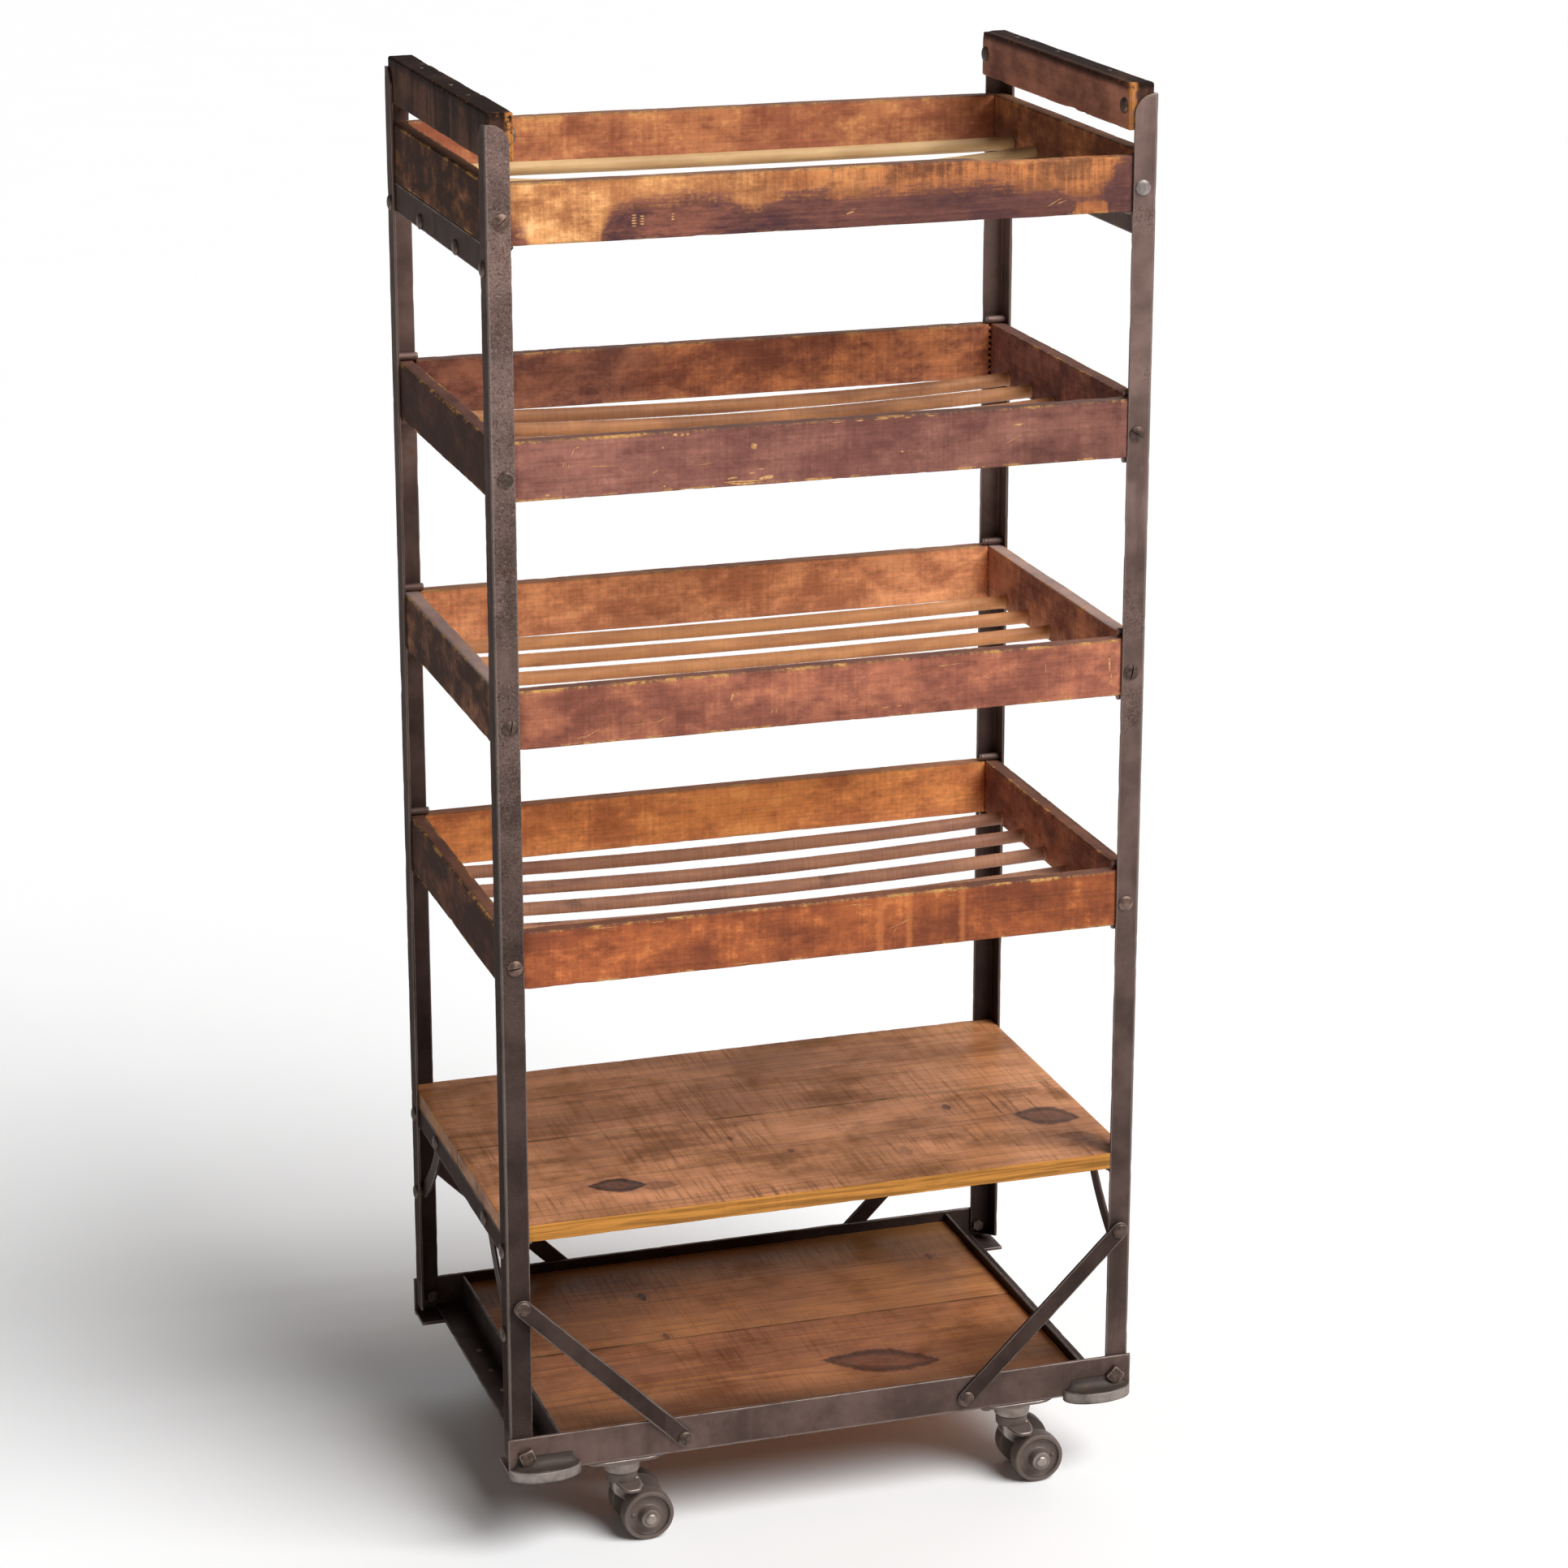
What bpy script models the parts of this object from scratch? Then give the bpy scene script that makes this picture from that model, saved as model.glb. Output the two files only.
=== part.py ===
"""Rolling storage rack: four dowel-bottomed trays, a plank shelf and a plank deck in an
angle-iron frame that stands on four twin-wheel swivel casters.

Metres, +Z up. The origin is on the floor under the middle of the frame, and -Y is the front.
"""

import math

import bmesh
import bpy
from mathutils import Matrix, Vector

# Clearances
SEAT = 0.0003  # between pieces that rest on each other
PLAY = 0.0003  # round a dowel, an axle or a stem, on the radius
CUT_PAST = 0.005  # how far a cutter runs past the wall that it cuts
LAP = 0.001  # how far shapes of one casting run into each other
WELD = 0.00001

# Frame, over the outer faces of the posts
WIDTH = 0.762
DEPTH = 0.470
POST_LEG = 0.0274
POST_WALL = 0.0033
POST_TOP_RADIUS = 0.022
POST_LIFT = 0.010  # from the rail's lower leg to the foot of the post

# Casters
WHEEL_RADIUS = 0.0305
WHEEL_WIDTH = 0.020
WHEEL_SPACING = 0.052  # between the middles of a pair
RIM_WALL = 0.007
RIM_ROUND = 0.002
FACE_RECESS = 0.0045
HUB_RADIUS = 0.012
HUB_STANDOUT = 0.008
HUB_GAP = 0.0006  # between the fork's hub and a wheel
AXLE_RADIUS = 0.005
AXLE_HEAD_RADIUS = 0.0065
AXLE_HEAD_HEIGHT = 0.002
AXLE_HEAD_EDGE = 0.0007  # height of the head's straight side, under its crown
AXLE_CROWN_RADIUS = 0.0045
CASTER_TRAIL = 0.023
FENDER_GAP = 0.0035
FENDER_THICKNESS = 0.004
FENDER_LENGTH = 0.030
FENDER_LEAD = 0.0045  # of its middle from the swivel axis, towards the wheels
FENDER_REACH = 0.038
CROWN_RADIUS = 0.019
CROWN_HEIGHT = 0.0112
STEM_RADIUS = 0.008
STEM_LENGTH = 0.014
FORK_WEB = 0.024
FORK_WEB_LEAD = 0.0143  # of the web's front edge before the swivel axis
FORK_WEB_TAIL = 0.0046  # of the web's top behind the axle
FORK_HUB_RADIUS = 0.0115
FORK_EYE_RADIUS = 0.0124
FORK_EYE_ARC = (170, 370)  # degrees, where the web meets its round end
SWIVEL_GAP = 0.0004
BOSS_TOP_RADIUS = 0.023
BOSS_LOW_RADIUS = 0.021
BOSS_HEIGHT = 0.0173
CASTER_PLATE_LENGTH = 0.104
CASTER_PLATE_WIDTH = 0.054
CASTER_PLATE_THICKNESS = 0.004
CASTER_INSET = 0.1385  # of the swivel axis from the outer face of the post
CASTER_BOLT_SPREAD = 0.064
CASTER_BOLT_RADIUS = 0.008
CASTER_BOLT_DROP = 0.010

# Base
RAIL_LEG = 0.045
RAIL_WALL = 0.0040
RAIL_OVERHANG = 0.0025  # past the outer face of the post
SIDE_RAIL_LEG = 0.038
SIDE_RAIL_WALL = 0.0035
SIDE_RAIL_INSET = 0.024
DECK_THICKNESS = 0.0277
DECK_SEAM_Y = -0.004
BUMPER_HALF_LENGTH = 0.042
BUMPER_DEPTH = 0.021
BUMPER_HEIGHT = 0.0135
BUMPER_INSET = 0.0405  # of its middle from the outer face of the post
BUMPER_LIP = 0.0047
BUMPER_LIP_REACH = 0.012
BUMPER_LIP_FRONT = 0.007
BUMPER_LIP_HALF_LENGTH = 0.0357
SQUARE_BOLT = 0.020
SQUARE_BOLT_HEIGHT = 0.008
SQUARE_BOLT_INSET = 0.0185
SQUARE_BOLT_RISE = 0.0224

# Braces in the front and rear planes
BRACE_WIDTH = 0.021
BRACE_WALL = 0.0040
BRACE_HEAD_RISE = 0.2083  # above the underside of the rail
BRACE_FOOT_RISE = 0.0188
BRACE_FOOT_INSET = 0.2074
BOLT_INSET = 0.0165  # of a bolt in a post, from the post's outer corner
BOLT_HEAD_RADIUS = 0.0088
BOLT_CROWN_RADIUS = 0.0070
BOLT_HEAD_HEIGHT = 0.0042

# Shelf
SHELF_RISE = 0.273  # from the top of the deck to the top of the shelf
SHELF_THICKNESS = 0.0195
SHELF_SEAM_Y = 0.011
SHELF_NOTCH_PLAY = 0.001
SEAM = 0.0006
TONGUE = 0.006
ANGLE_LEG = 0.0274
ANGLE_WALL = 0.0033
KNEE_WIDTH = 0.019
KNEE_WALL = 0.0033
KNEE_INSET = 0.115  # of the upper bolt from the front or rear of the post
KNEE_DROP = 0.1025
KNEE_BULGE = 0.009

# Trays, counted from the top
TRAY_COUNT = 4
TRAY_PITCH = 0.278
TRAY_HEIGHT = 0.0665
TRAY_RISE = 0.2845  # from the top of the shelf to the underside of the lowest tray
TRAY_BOARD = 0.018
TRAY_END_GAP = 0.003  # between a long board's face and the post beside it
TRAY_FINGER = 0.022
TRAY_BOLT_DROP = 0.0400  # below the top of the tray
DOWEL_COUNT = 5
DOWEL_RADIUS = 0.008
DOWEL_PITCH = 0.0735
DOWEL_SHIFT = 0.010  # of the middle dowel towards the rear
DOWEL_LIFT = 0.0105  # of its axis above the underside of the tray
TOP_DOWEL_LIFT = 0.0175
DOWEL_SEAT = 0.008
PEG_RADIUS = 0.0045
PEG_LENGTH = 0.030
PEG_INSET = 0.0155
TOP_ANGLE_LEG = 0.034
TOP_ANGLE_BOLT_DROP = 0.025
TOP_ANGLE_BOLT_SPREAD = 0.168

# Handles
HANDLE_GAP = 0.0225  # above the top tray
HANDLE_HEIGHT = 0.0525
HANDLE_THICKNESS = 0.030
HANDLE_RISE = 0.012  # above the top of the posts
HANDLE_CHAMFER = 0.003

# Facets of round pieces
WHEEL_STEPS = 20
ROUND_STEPS = 12
DOWEL_SIDES = 10
HEAD_SIDES = 8
PEG_SIDES = 6
ARC_STEPS = 6
SHARP_EDGE = 35  # degrees between faces, from which an edge is shaded sharp

# Heights, stacked from the floor
AXLE_Z = WHEEL_RADIUS
FENDER_LOW = 2 * WHEEL_RADIUS + FENDER_GAP
FENDER_TOP = FENDER_LOW + FENDER_THICKNESS
CROWN_TOP = FENDER_TOP + CROWN_HEIGHT
BOSS_LOW = CROWN_TOP + SWIVEL_GAP
CASTER_PLATE_LOW = BOSS_LOW + BOSS_HEIGHT
RAIL_LOW = CASTER_PLATE_LOW + CASTER_PLATE_THICKNESS + SEAT
RAIL_LEG_TOP = RAIL_LOW + RAIL_WALL
POST_FOOT = RAIL_LEG_TOP + POST_LIFT
DECK_LOW = RAIL_LEG_TOP + SEAT
DECK_TOP = DECK_LOW + DECK_THICKNESS
SHELF_TOP = DECK_TOP + SHELF_RISE
SHELF_LOW = SHELF_TOP - SHELF_THICKNESS
LOWEST_TRAY = SHELF_TOP + TRAY_RISE
TOP_TRAY = LOWEST_TRAY + (TRAY_COUNT - 1) * TRAY_PITCH
HANDLE_LOW = TOP_TRAY + TRAY_HEIGHT + HANDLE_GAP
HANDLE_TOP = HANDLE_LOW + HANDLE_HEIGHT
POST_TOP = HANDLE_TOP - HANDLE_RISE

# Distances from the middle plane to faces that other pieces meet
POST_X = WIDTH / 2
POST_Y = DEPTH / 2
INNER_X = POST_X - POST_WALL - SEAT
INNER_Y = POST_Y - POST_WALL - SEAT
RAIL_BACK = POST_Y + SEAT
RAIL_FACE = RAIL_BACK + RAIL_WALL
SIDE_RAIL_EDGE = POST_X - SIDE_RAIL_INSET
SIDE_RAIL_BACK = SIDE_RAIL_EDGE - SIDE_RAIL_LEG
CASTER_X = POST_X - CASTER_INSET
CASTER_Y = RAIL_FACE - CASTER_PLATE_WIDTH / 2
BOARD_FACE = POST_Y - SEAT
BOARD_BACK = BOARD_FACE - TRAY_BOARD

SIDES = {"left": -1, "right": 1}
ENDS = {"front": -1, "rear": 1}
CORNERS = [(f"{end}_{side}", x, y) for end, y in ENDS.items() for side, x in SIDES.items()]

# Colour, roughness and metallic value of each finish
FINISHES = {
    "aged_steel": ((0.085, 0.070, 0.060), 0.55, 0.85),
    "cast_iron": ((0.150, 0.135, 0.120), 0.50, 0.85),
    "tray_wood": ((0.210, 0.075, 0.030), 0.55, 0.0),
    "handle_wood": ((0.080, 0.035, 0.020), 0.60, 0.0),
    "plank_wood": ((0.260, 0.110, 0.035), 0.45, 0.0),
}


def new_collection(name):
    made = bpy.data.collections.new(name)
    bpy.context.scene.collection.children.link(made)
    return made


def finish_material(name):
    """The finish's Principled material, made the first time that it is asked for."""
    if name in bpy.data.materials:
        return bpy.data.materials[name]
    colour, roughness, metallic = FINISHES[name]
    material = bpy.data.materials.new(name)
    material.use_nodes = True
    shader = material.node_tree.nodes["Principled BSDF"]
    shader.inputs["Base Color"].default_value = (*colour, 1)
    shader.inputs["Roughness"].default_value = roughness
    shader.inputs["Metallic"].default_value = metallic
    return material


def add_object(name, shape, place=Matrix()):
    """A linked object that holds what a bmesh holds, at a place."""
    mesh = bpy.data.meshes.new(name)
    bmesh.ops.recalc_face_normals(shape, faces=shape.faces)
    shape.to_mesh(mesh)
    shape.free()
    made = bpy.data.objects.new(name, mesh)
    made.matrix_world = place
    PARTS.objects.link(made)
    return made


def dressed(piece, finish):
    """Gives a finished piece its material and smooth shading between sharp edges."""
    piece.data.materials.append(finish_material(finish))
    piece.data.shade_smooth()
    piece.data.set_sharp_from_angle(angle=math.radians(SHARP_EDGE))
    return piece


def combine(piece, tool, operation):
    """Joins a tool to a piece, or cuts it away, and puts the tool with the cutters."""
    step = piece.modifiers.new(tool.name, "BOOLEAN")
    step.operation = operation
    step.solver = "EXACT"
    step.object = tool
    PARTS.objects.unlink(tool)
    CUTTERS.objects.link(tool)
    tool.hide_render = True
    tool.display_type = "WIRE"


def fuse(piece, *tools):
    for tool in tools:
        combine(piece, tool, "UNION")
    return piece


def cut(piece, *tools):
    for tool in tools:
        combine(piece, tool, "DIFFERENCE")
    return piece


def arc(centre, radius, start, end, steps=ARC_STEPS):
    """Points on a circle between two angles in degrees, ends included."""
    angles = [math.radians(start + (end - start) * k / steps) for k in range(steps + 1)]
    return [(centre[0] + radius * math.cos(a), centre[1] + radius * math.sin(a)) for a in angles]


def circle(centre, radius, steps=ROUND_STEPS):
    return arc(centre, radius, 0, 360, steps)[:-1]


# Each plane's turn takes a flat outline's two axes to the world axes in the plane's name
PLANES = {
    "XY": (Matrix(((1, 0, 0), (0, 1, 0), (0, 0, 1))), Vector((0, 0, 1))),
    "XZ": (Matrix(((1, 0, 0), (0, 0, -1), (0, 1, 0))), Vector((0, 1, 0))),
    "YZ": (Matrix(((0, 0, 1), (1, 0, 0), (0, 1, 0))), Vector((1, 0, 0))),
}


def plate(name, plane, outline, span):
    """An outline in a plane, thickened between two positions along the plane's normal."""
    curve = bpy.data.curves.new(name, "CURVE")
    curve.dimensions = "2D"
    curve.fill_mode = "BOTH"
    curve.extrude = abs(span[1] - span[0]) / 2
    spline = curve.splines.new("POLY")
    spline.points.add(len(outline) - 1)
    for point, (a, b) in zip(spline.points, outline):
        point.co = (a, b, 0, 1)
    spline.use_cyclic_u = True
    flat = bpy.data.objects.new(name, curve)
    PARTS.objects.link(flat)
    turn, normal = PLANES[plane]
    flat.matrix_world = Matrix.Translation(normal * (span[0] + span[1]) / 2) @ turn.to_4x4()
    bpy.context.view_layer.update()
    graph = bpy.context.evaluated_depsgraph_get()
    mesh = bpy.data.meshes.new_from_object(flat.evaluated_get(graph))
    shape = bmesh.new()
    shape.from_mesh(mesh)
    bmesh.ops.remove_doubles(shape, verts=shape.verts, dist=WELD)
    place = flat.matrix_world.copy()
    bpy.data.objects.remove(flat)
    bpy.data.meshes.remove(mesh)
    return add_object(name, shape, place)


def boxes(name, spans):
    """Separate boxes, each given by its spans in x, y and z, in any order of ends."""
    shape = bmesh.new()
    for spans_of_box in spans:
        lows = Vector([min(span) for span in spans_of_box])
        highs = Vector([max(span) for span in spans_of_box])
        place = Matrix.Translation((lows + highs) / 2) @ Matrix.Diagonal((*(highs - lows), 1))
        bmesh.ops.create_cube(shape, size=1, matrix=place)
    return add_object(name, shape)


def rods(name, ends, sides):
    """Separate straight rods, each given by its two ends and the radius at each of them."""
    shape = bmesh.new()
    for start, start_radius, end, end_radius in ends:
        start, end = Vector(start), Vector(end)
        turn = Vector((0, 0, 1)).rotation_difference(end - start).to_matrix().to_4x4()
        bmesh.ops.create_cone(
            shape,
            cap_ends=True,
            segments=sides,
            radius1=start_radius,
            radius2=end_radius,
            depth=(end - start).length,
            matrix=Matrix.Translation((start + end) / 2) @ turn,
        )
    return add_object(name, shape)


def turned(name, profile, steps, closed=False):
    """A profile of (radius, height) points, from top to bottom, spun round the Z axis."""
    count = len(profile)
    edges = [(k, k + 1) for k in range(count - 1)]
    if closed:
        edges.append((count - 1, 0))
    mesh = bpy.data.meshes.new(name)
    mesh.from_pydata([(radius, 0, height) for radius, height in profile], edges, [])
    made = bpy.data.objects.new(name, mesh)
    PARTS.objects.link(made)
    spin = made.modifiers.new("spin", "SCREW")
    spin.steps = steps
    spin.render_steps = steps
    spin.use_merge_vertices = True
    spin.merge_threshold = WELD
    return made


def head(centre, direction):
    """A bolt head as a tapered rod that starts inside the wall and stands out of its face."""
    centre, direction = Vector(centre), Vector(direction)
    root = centre - direction * POST_WALL / 2
    crown = centre + direction * BOLT_HEAD_HEIGHT
    return root, BOLT_HEAD_RADIUS, crown, BOLT_CROWN_RADIUS


def strap(p, q, width, bulge=0.0):
    """Outline of a flat strap with round ends between two bolts, bowed to its left by the bulge."""
    p, q = Vector(p), Vector(q)
    along = (q - p).normalized()
    across = Vector((-along.y, along.x))
    shares = [k / ARC_STEPS for k in range(1, ARC_STEPS)]
    spine = [p.lerp(q, t) + across * bulge * 4 * t * (1 - t) for t in shares]  # a parabola
    heading = math.degrees(math.atan2(along.y, along.x))
    lean = math.degrees(math.atan2(4 * bulge, (q - p).length))
    half = width / 2
    outline = arc(q, half, heading - lean - 90, heading - lean + 90)
    outline += [tuple(point + across * half) for point in reversed(spine)]
    outline += arc(p, half, heading + lean + 90, heading + lean + 270)
    outline += [tuple(point - across * half) for point in spine]
    return outline


def tray_low(tray):
    """Underside of a tray, counted from the top."""
    return LOWEST_TRAY + (TRAY_COUNT - tray) * TRAY_PITCH


SHELF_BOLT_Z = SHELF_LOW - ANGLE_WALL - 2 * SEAT - KNEE_WIDTH / 2
TOP_ANGLE_BOLT_Z = TOP_TRAY - SEAT - TOP_ANGLE_BOLT_DROP
KNEE_BOLT_Y = POST_Y - KNEE_INSET
POST_BOLT_X = POST_X - BOLT_INSET
POST_BOLT_Y = POST_Y - BOLT_INSET


def post(corner, x, y):
    """An angle iron with a rounded top, with the heads of the bolts through it and its tray pegs."""

    def flange(a, b):
        """Outline of a flange that runs from the outer corner at a towards b."""
        inward = math.copysign(1, b - a)
        top = arc((b - inward * POST_TOP_RADIUS, POST_TOP - POST_TOP_RADIUS), POST_TOP_RADIUS, 0, 90)
        if inward < 0:
            middle = 2 * (b - inward * POST_TOP_RADIUS)
            top = [(middle - u, z) for u, z in top]
        return [(a, POST_FOOT), (b, POST_FOOT), *top, (a, POST_TOP)]

    across = (x * POST_X, x * (POST_X - POST_LEG))
    back = (y * (POST_Y - POST_WALL / 2), y * (POST_Y - POST_LEG))
    name = f"post_{corner}"
    made = plate(name, "XZ", flange(*across), (y * POST_Y, y * (POST_Y - POST_WALL)))
    side = plate(f"{name}_side", "YZ", flange(*back), (x * POST_X, x * (POST_X - POST_WALL)))

    heads = []
    for tray in range(1, TRAY_COUNT + 1):
        bolt_z = tray_low(tray) + TRAY_HEIGHT - TRAY_BOLT_DROP
        heads.append(head((x * POST_BOLT_X, y * POST_Y, bolt_z), (0, y, 0)))
    for bolt_z in (TOP_ANGLE_BOLT_Z, SHELF_BOLT_Z, SHELF_BOLT_Z - KNEE_DROP):
        heads.append(head((x * POST_X, y * POST_BOLT_Y, bolt_z), (x, 0, 0)))

    pegs = []
    root_x = POST_X - POST_WALL / 2
    tip_x = POST_X - POST_WALL - PEG_LENGTH
    peg_y = y * (POST_Y - PEG_INSET)
    for tray in range(2, TRAY_COUNT + 1):
        below = tray_low(tray) - SEAT - PEG_RADIUS
        above = tray_low(tray) + TRAY_HEIGHT + SEAT + PEG_RADIUS
        for peg_z in (below, above):
            pegs.append(((x * root_x, peg_y, peg_z), PEG_RADIUS, (x * tip_x, peg_y, peg_z), PEG_RADIUS))
    fuse(made, side, rods(f"{name}_heads", heads, HEAD_SIDES), rods(f"{name}_pegs", pegs, PEG_SIDES))
    dressed(made, "aged_steel")


def handle(side, x):
    """A wooden bar between the posts of one side, with the bolt heads on its inner face."""
    name = f"handle_{side}"
    inner = INNER_X - HANDLE_THICKNESS
    made = boxes(name, [((x * INNER_X, x * inner), (-INNER_Y, INNER_Y), (HANDLE_LOW, HANDLE_TOP))])
    edge = made.modifiers.new("worn_edges", "BEVEL")
    edge.width = HANDLE_CHAMFER
    edge.segments = 1
    bolt_z = (HANDLE_LOW + HANDLE_TOP) / 2
    heads = [head((x * inner, y * POST_BOLT_Y, bolt_z), (-x, 0, 0)) for y in ENDS.values()]
    fuse(made, rods(f"{name}_heads", heads, HEAD_SIDES))
    dressed(made, "handle_wood")


def finger_span(tray):
    """Heights of the finger that a long board puts into a side board, round the tray bolt."""
    middle = tray_low(tray) + TRAY_HEIGHT - TRAY_BOLT_DROP
    return middle - TRAY_FINGER / 2, middle + TRAY_FINGER / 2


def tray_long_board(tray, name, y):
    """Front or back board: its face is flush with the posts, its rebated ends pass behind them."""
    low, high = tray_low(tray), tray_low(tray) + TRAY_HEIGHT
    finger_low, finger_high = finger_span(tray)
    past_low, past_high = low - CUT_PAST, high + CUT_PAST
    shoulder = INNER_X - TRAY_BOARD - SEAT
    rebate = POST_X - POST_LEG - TRAY_END_GAP
    rebate_y = (y * INNER_Y, y * (BOARD_FACE + CUT_PAST))
    through_y = (y * (BOARD_BACK - CUT_PAST), y * (BOARD_FACE + CUT_PAST))
    rebates = []
    shoulders = []
    for x in SIDES.values():
        end = x * (INNER_X + CUT_PAST)
        rebates.append(((x * rebate, end), rebate_y, (past_low, past_high)))
        for heights in ((past_low, finger_low), (finger_high, past_high)):
            shoulders.append(((x * shoulder, end), through_y, heights))
    made = boxes(name, [((-INNER_X, INNER_X), (y * BOARD_FACE, y * BOARD_BACK), (low, high))])
    cut(made, boxes(f"{name}_rebates", rebates), boxes(f"{name}_shoulders", shoulders))
    dressed(made, "tray_wood")


def dowel_lines(tray):
    """The y and z of each dowel of a tray."""
    lift = TOP_DOWEL_LIFT if tray == 1 else DOWEL_LIFT
    middle = (DOWEL_COUNT - 1) / 2
    return [
        (DOWEL_SHIFT + (k - middle) * DOWEL_PITCH, tray_low(tray) + lift) for k in range(DOWEL_COUNT)
    ]


def tray_side_board(tray, name, x):
    """Left or right board. The dowels are fast in the left one and slip into blind holes in the right."""
    low, high = tray_low(tray), tray_low(tray) + TRAY_HEIGHT
    finger_low, finger_high = finger_span(tray)
    board_back = INNER_X - TRAY_BOARD
    made = boxes(name, [((x * INNER_X, x * board_back), (-INNER_Y, INNER_Y), (low, high))])
    through_x = (x * (INNER_X + CUT_PAST), x * (board_back - CUT_PAST))
    notches = []
    for y in ENDS.values():
        notch_y = (y * (BOARD_BACK - SEAT), y * (INNER_Y + CUT_PAST))
        notches.append((through_x, notch_y, (finger_low - SEAT, finger_high + SEAT)))
    cut(made, boxes(f"{name}_notches", notches))
    if x < 0:
        start, end, radius = -(board_back + DOWEL_SEAT), board_back + DOWEL_SEAT - SEAT, DOWEL_RADIUS
        work = fuse
    else:
        start, end = board_back - CUT_PAST, board_back + DOWEL_SEAT
        radius = (DOWEL_RADIUS + PLAY) / math.cos(math.pi / DOWEL_SIDES)
        work = cut
    lines = [((start, y, z), radius, (end, y, z), radius) for y, z in dowel_lines(tray)]
    work(made, rods(f"{name}_dowels", lines, DOWEL_SIDES))
    dressed(made, "tray_wood")


def angle_bar(name, x, top, leg):
    """A level angle between two posts of one side: upright leg outside, flat leg on top."""
    back = INNER_X - ANGLE_WALL
    section = [
        (x * INNER_X, top),
        (x * INNER_X, top - leg),
        (x * back, top - leg),
        (x * back, top - ANGLE_WALL),
        (x * (INNER_X - ANGLE_LEG), top - ANGLE_WALL),
        (x * (INNER_X - ANGLE_LEG), top),
    ]
    return plate(name, "XZ", section, (-INNER_Y, INNER_Y))


def top_tray_angle(side, x):
    """The angle under a side of the top tray, with two bolt heads on its upright leg."""
    name = f"top_tray_angle_{side}"
    made = angle_bar(name, x, TOP_TRAY - SEAT, TOP_ANGLE_LEG)
    spots = [y * TOP_ANGLE_BOLT_SPREAD / 2 for y in ENDS.values()]
    heads = [head((x * INNER_X, y, TOP_ANGLE_BOLT_Z), (x, 0, 0)) for y in spots]
    fuse(made, rods(f"{name}_heads", heads, HEAD_SIDES))
    dressed(made, "aged_steel")


def shelf_angle(side, x):
    """The angle under an end of the shelf, with the knee straps that brace it to the posts."""
    name = f"shelf_angle_{side}"
    made = angle_bar(name, x, SHELF_LOW - SEAT, ANGLE_LEG)
    heads = []
    pads = []
    knee_face = INNER_X - ANGLE_WALL + SEAT
    knee_back = INNER_X - ANGLE_WALL - KNEE_WALL
    for end, y in ENDS.items():
        upper = (y * KNEE_BOLT_Y, SHELF_BOLT_Z)
        lower = (y * POST_BOLT_Y, SHELF_BOLT_Z - KNEE_DROP)
        outline = strap(upper, lower, KNEE_WIDTH, -y * KNEE_BULGE)
        fuse(made, plate(f"{name}_knee_{end}", "YZ", outline, (x * knee_face, x * knee_back)))
        heads.append(head((x * INNER_X, *upper), (x, 0, 0)))
        pad_ends = ((x * (INNER_X - ANGLE_WALL - KNEE_WALL / 2), *lower), (x * INNER_X, *lower))
        pads.append((pad_ends[0], BOLT_HEAD_RADIUS, pad_ends[1], BOLT_HEAD_RADIUS))
    fuse(made, rods(f"{name}_heads", heads, HEAD_SIDES), rods(f"{name}_pads", pads, HEAD_SIDES))
    dressed(made, "aged_steel")


def plank_section(edge, seam, low, high, tongue):
    """Section of a plank in y and z, from its outer edge to a seam with a tongue or its groove."""
    third = (high - low) / 3
    inward = math.copysign(1, seam - edge)
    play = SEAT if tongue else -SEAT
    lip = seam - inward * SEAM / 2
    tip = seam + inward * (TONGUE if tongue else -TONGUE - SEAM)
    return [
        (edge, low),
        (lip, low),
        (lip, low + third + play),
        (tip, low + third + play),
        (tip, high - third - play),
        (lip, high - third - play),
        (lip, high),
        (edge, high),
    ]


def shelf_plank(end, y):
    """One of the two planks of the shelf, notched round the posts at its outer edge."""
    name = f"shelf_{end}_plank"
    section = plank_section(y * BOARD_FACE, SHELF_SEAM_Y, SHELF_LOW, SHELF_TOP, y < 0)
    made = plate(name, "YZ", section, (-INNER_X, INNER_X))
    notch_x = POST_X - POST_LEG - SHELF_NOTCH_PLAY
    notch_y = (y * INNER_Y, y * (BOARD_FACE + CUT_PAST))
    notch_z = (SHELF_LOW - CUT_PAST, SHELF_TOP + CUT_PAST)
    notches = [((x * notch_x, x * (INNER_X + CUT_PAST)), notch_y, notch_z) for x in SIDES.values()]
    cut(made, boxes(f"{name}_notches", notches))
    dressed(made, "plank_wood")


def deck_plank(end, y):
    """One of the two planks of the deck, lying on the lower legs of the rails."""
    edge = y * (RAIL_BACK - SEAT)
    section = plank_section(edge, DECK_SEAM_Y, DECK_LOW, DECK_TOP, y < 0)
    half = SIDE_RAIL_BACK - SEAT
    dressed(plate(f"deck_{end}_plank", "YZ", section, (-half, half)), "plank_wood")


def brace(corner, x, y):
    """A flat strap from a post to the rail, packed out from the post by the rail's thickness."""
    name = f"brace_{corner}"
    top = (x * POST_BOLT_X, RAIL_LOW + BRACE_HEAD_RISE)
    foot = (x * (POST_X - BRACE_FOOT_INSET), RAIL_LOW + BRACE_FOOT_RISE)
    back = RAIL_FACE + SEAT
    face = back + BRACE_WALL
    made = plate(name, "XZ", strap(top, foot, BRACE_WIDTH), (y * back, y * face))
    heads = [head((u, y * face, z), (0, y, 0)) for u, z in (top, foot)]
    packing = ((top[0], y * (back + BRACE_WALL / 2), top[1]), (top[0], y * (POST_Y + SEAT), top[1]))
    pad = [(packing[0], BOLT_HEAD_RADIUS, packing[1], BOLT_HEAD_RADIUS)]
    fuse(made, rods(f"{name}_heads", heads, HEAD_SIDES), rods(f"{name}_pad", pad, HEAD_SIDES))
    dressed(made, "aged_steel")


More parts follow.
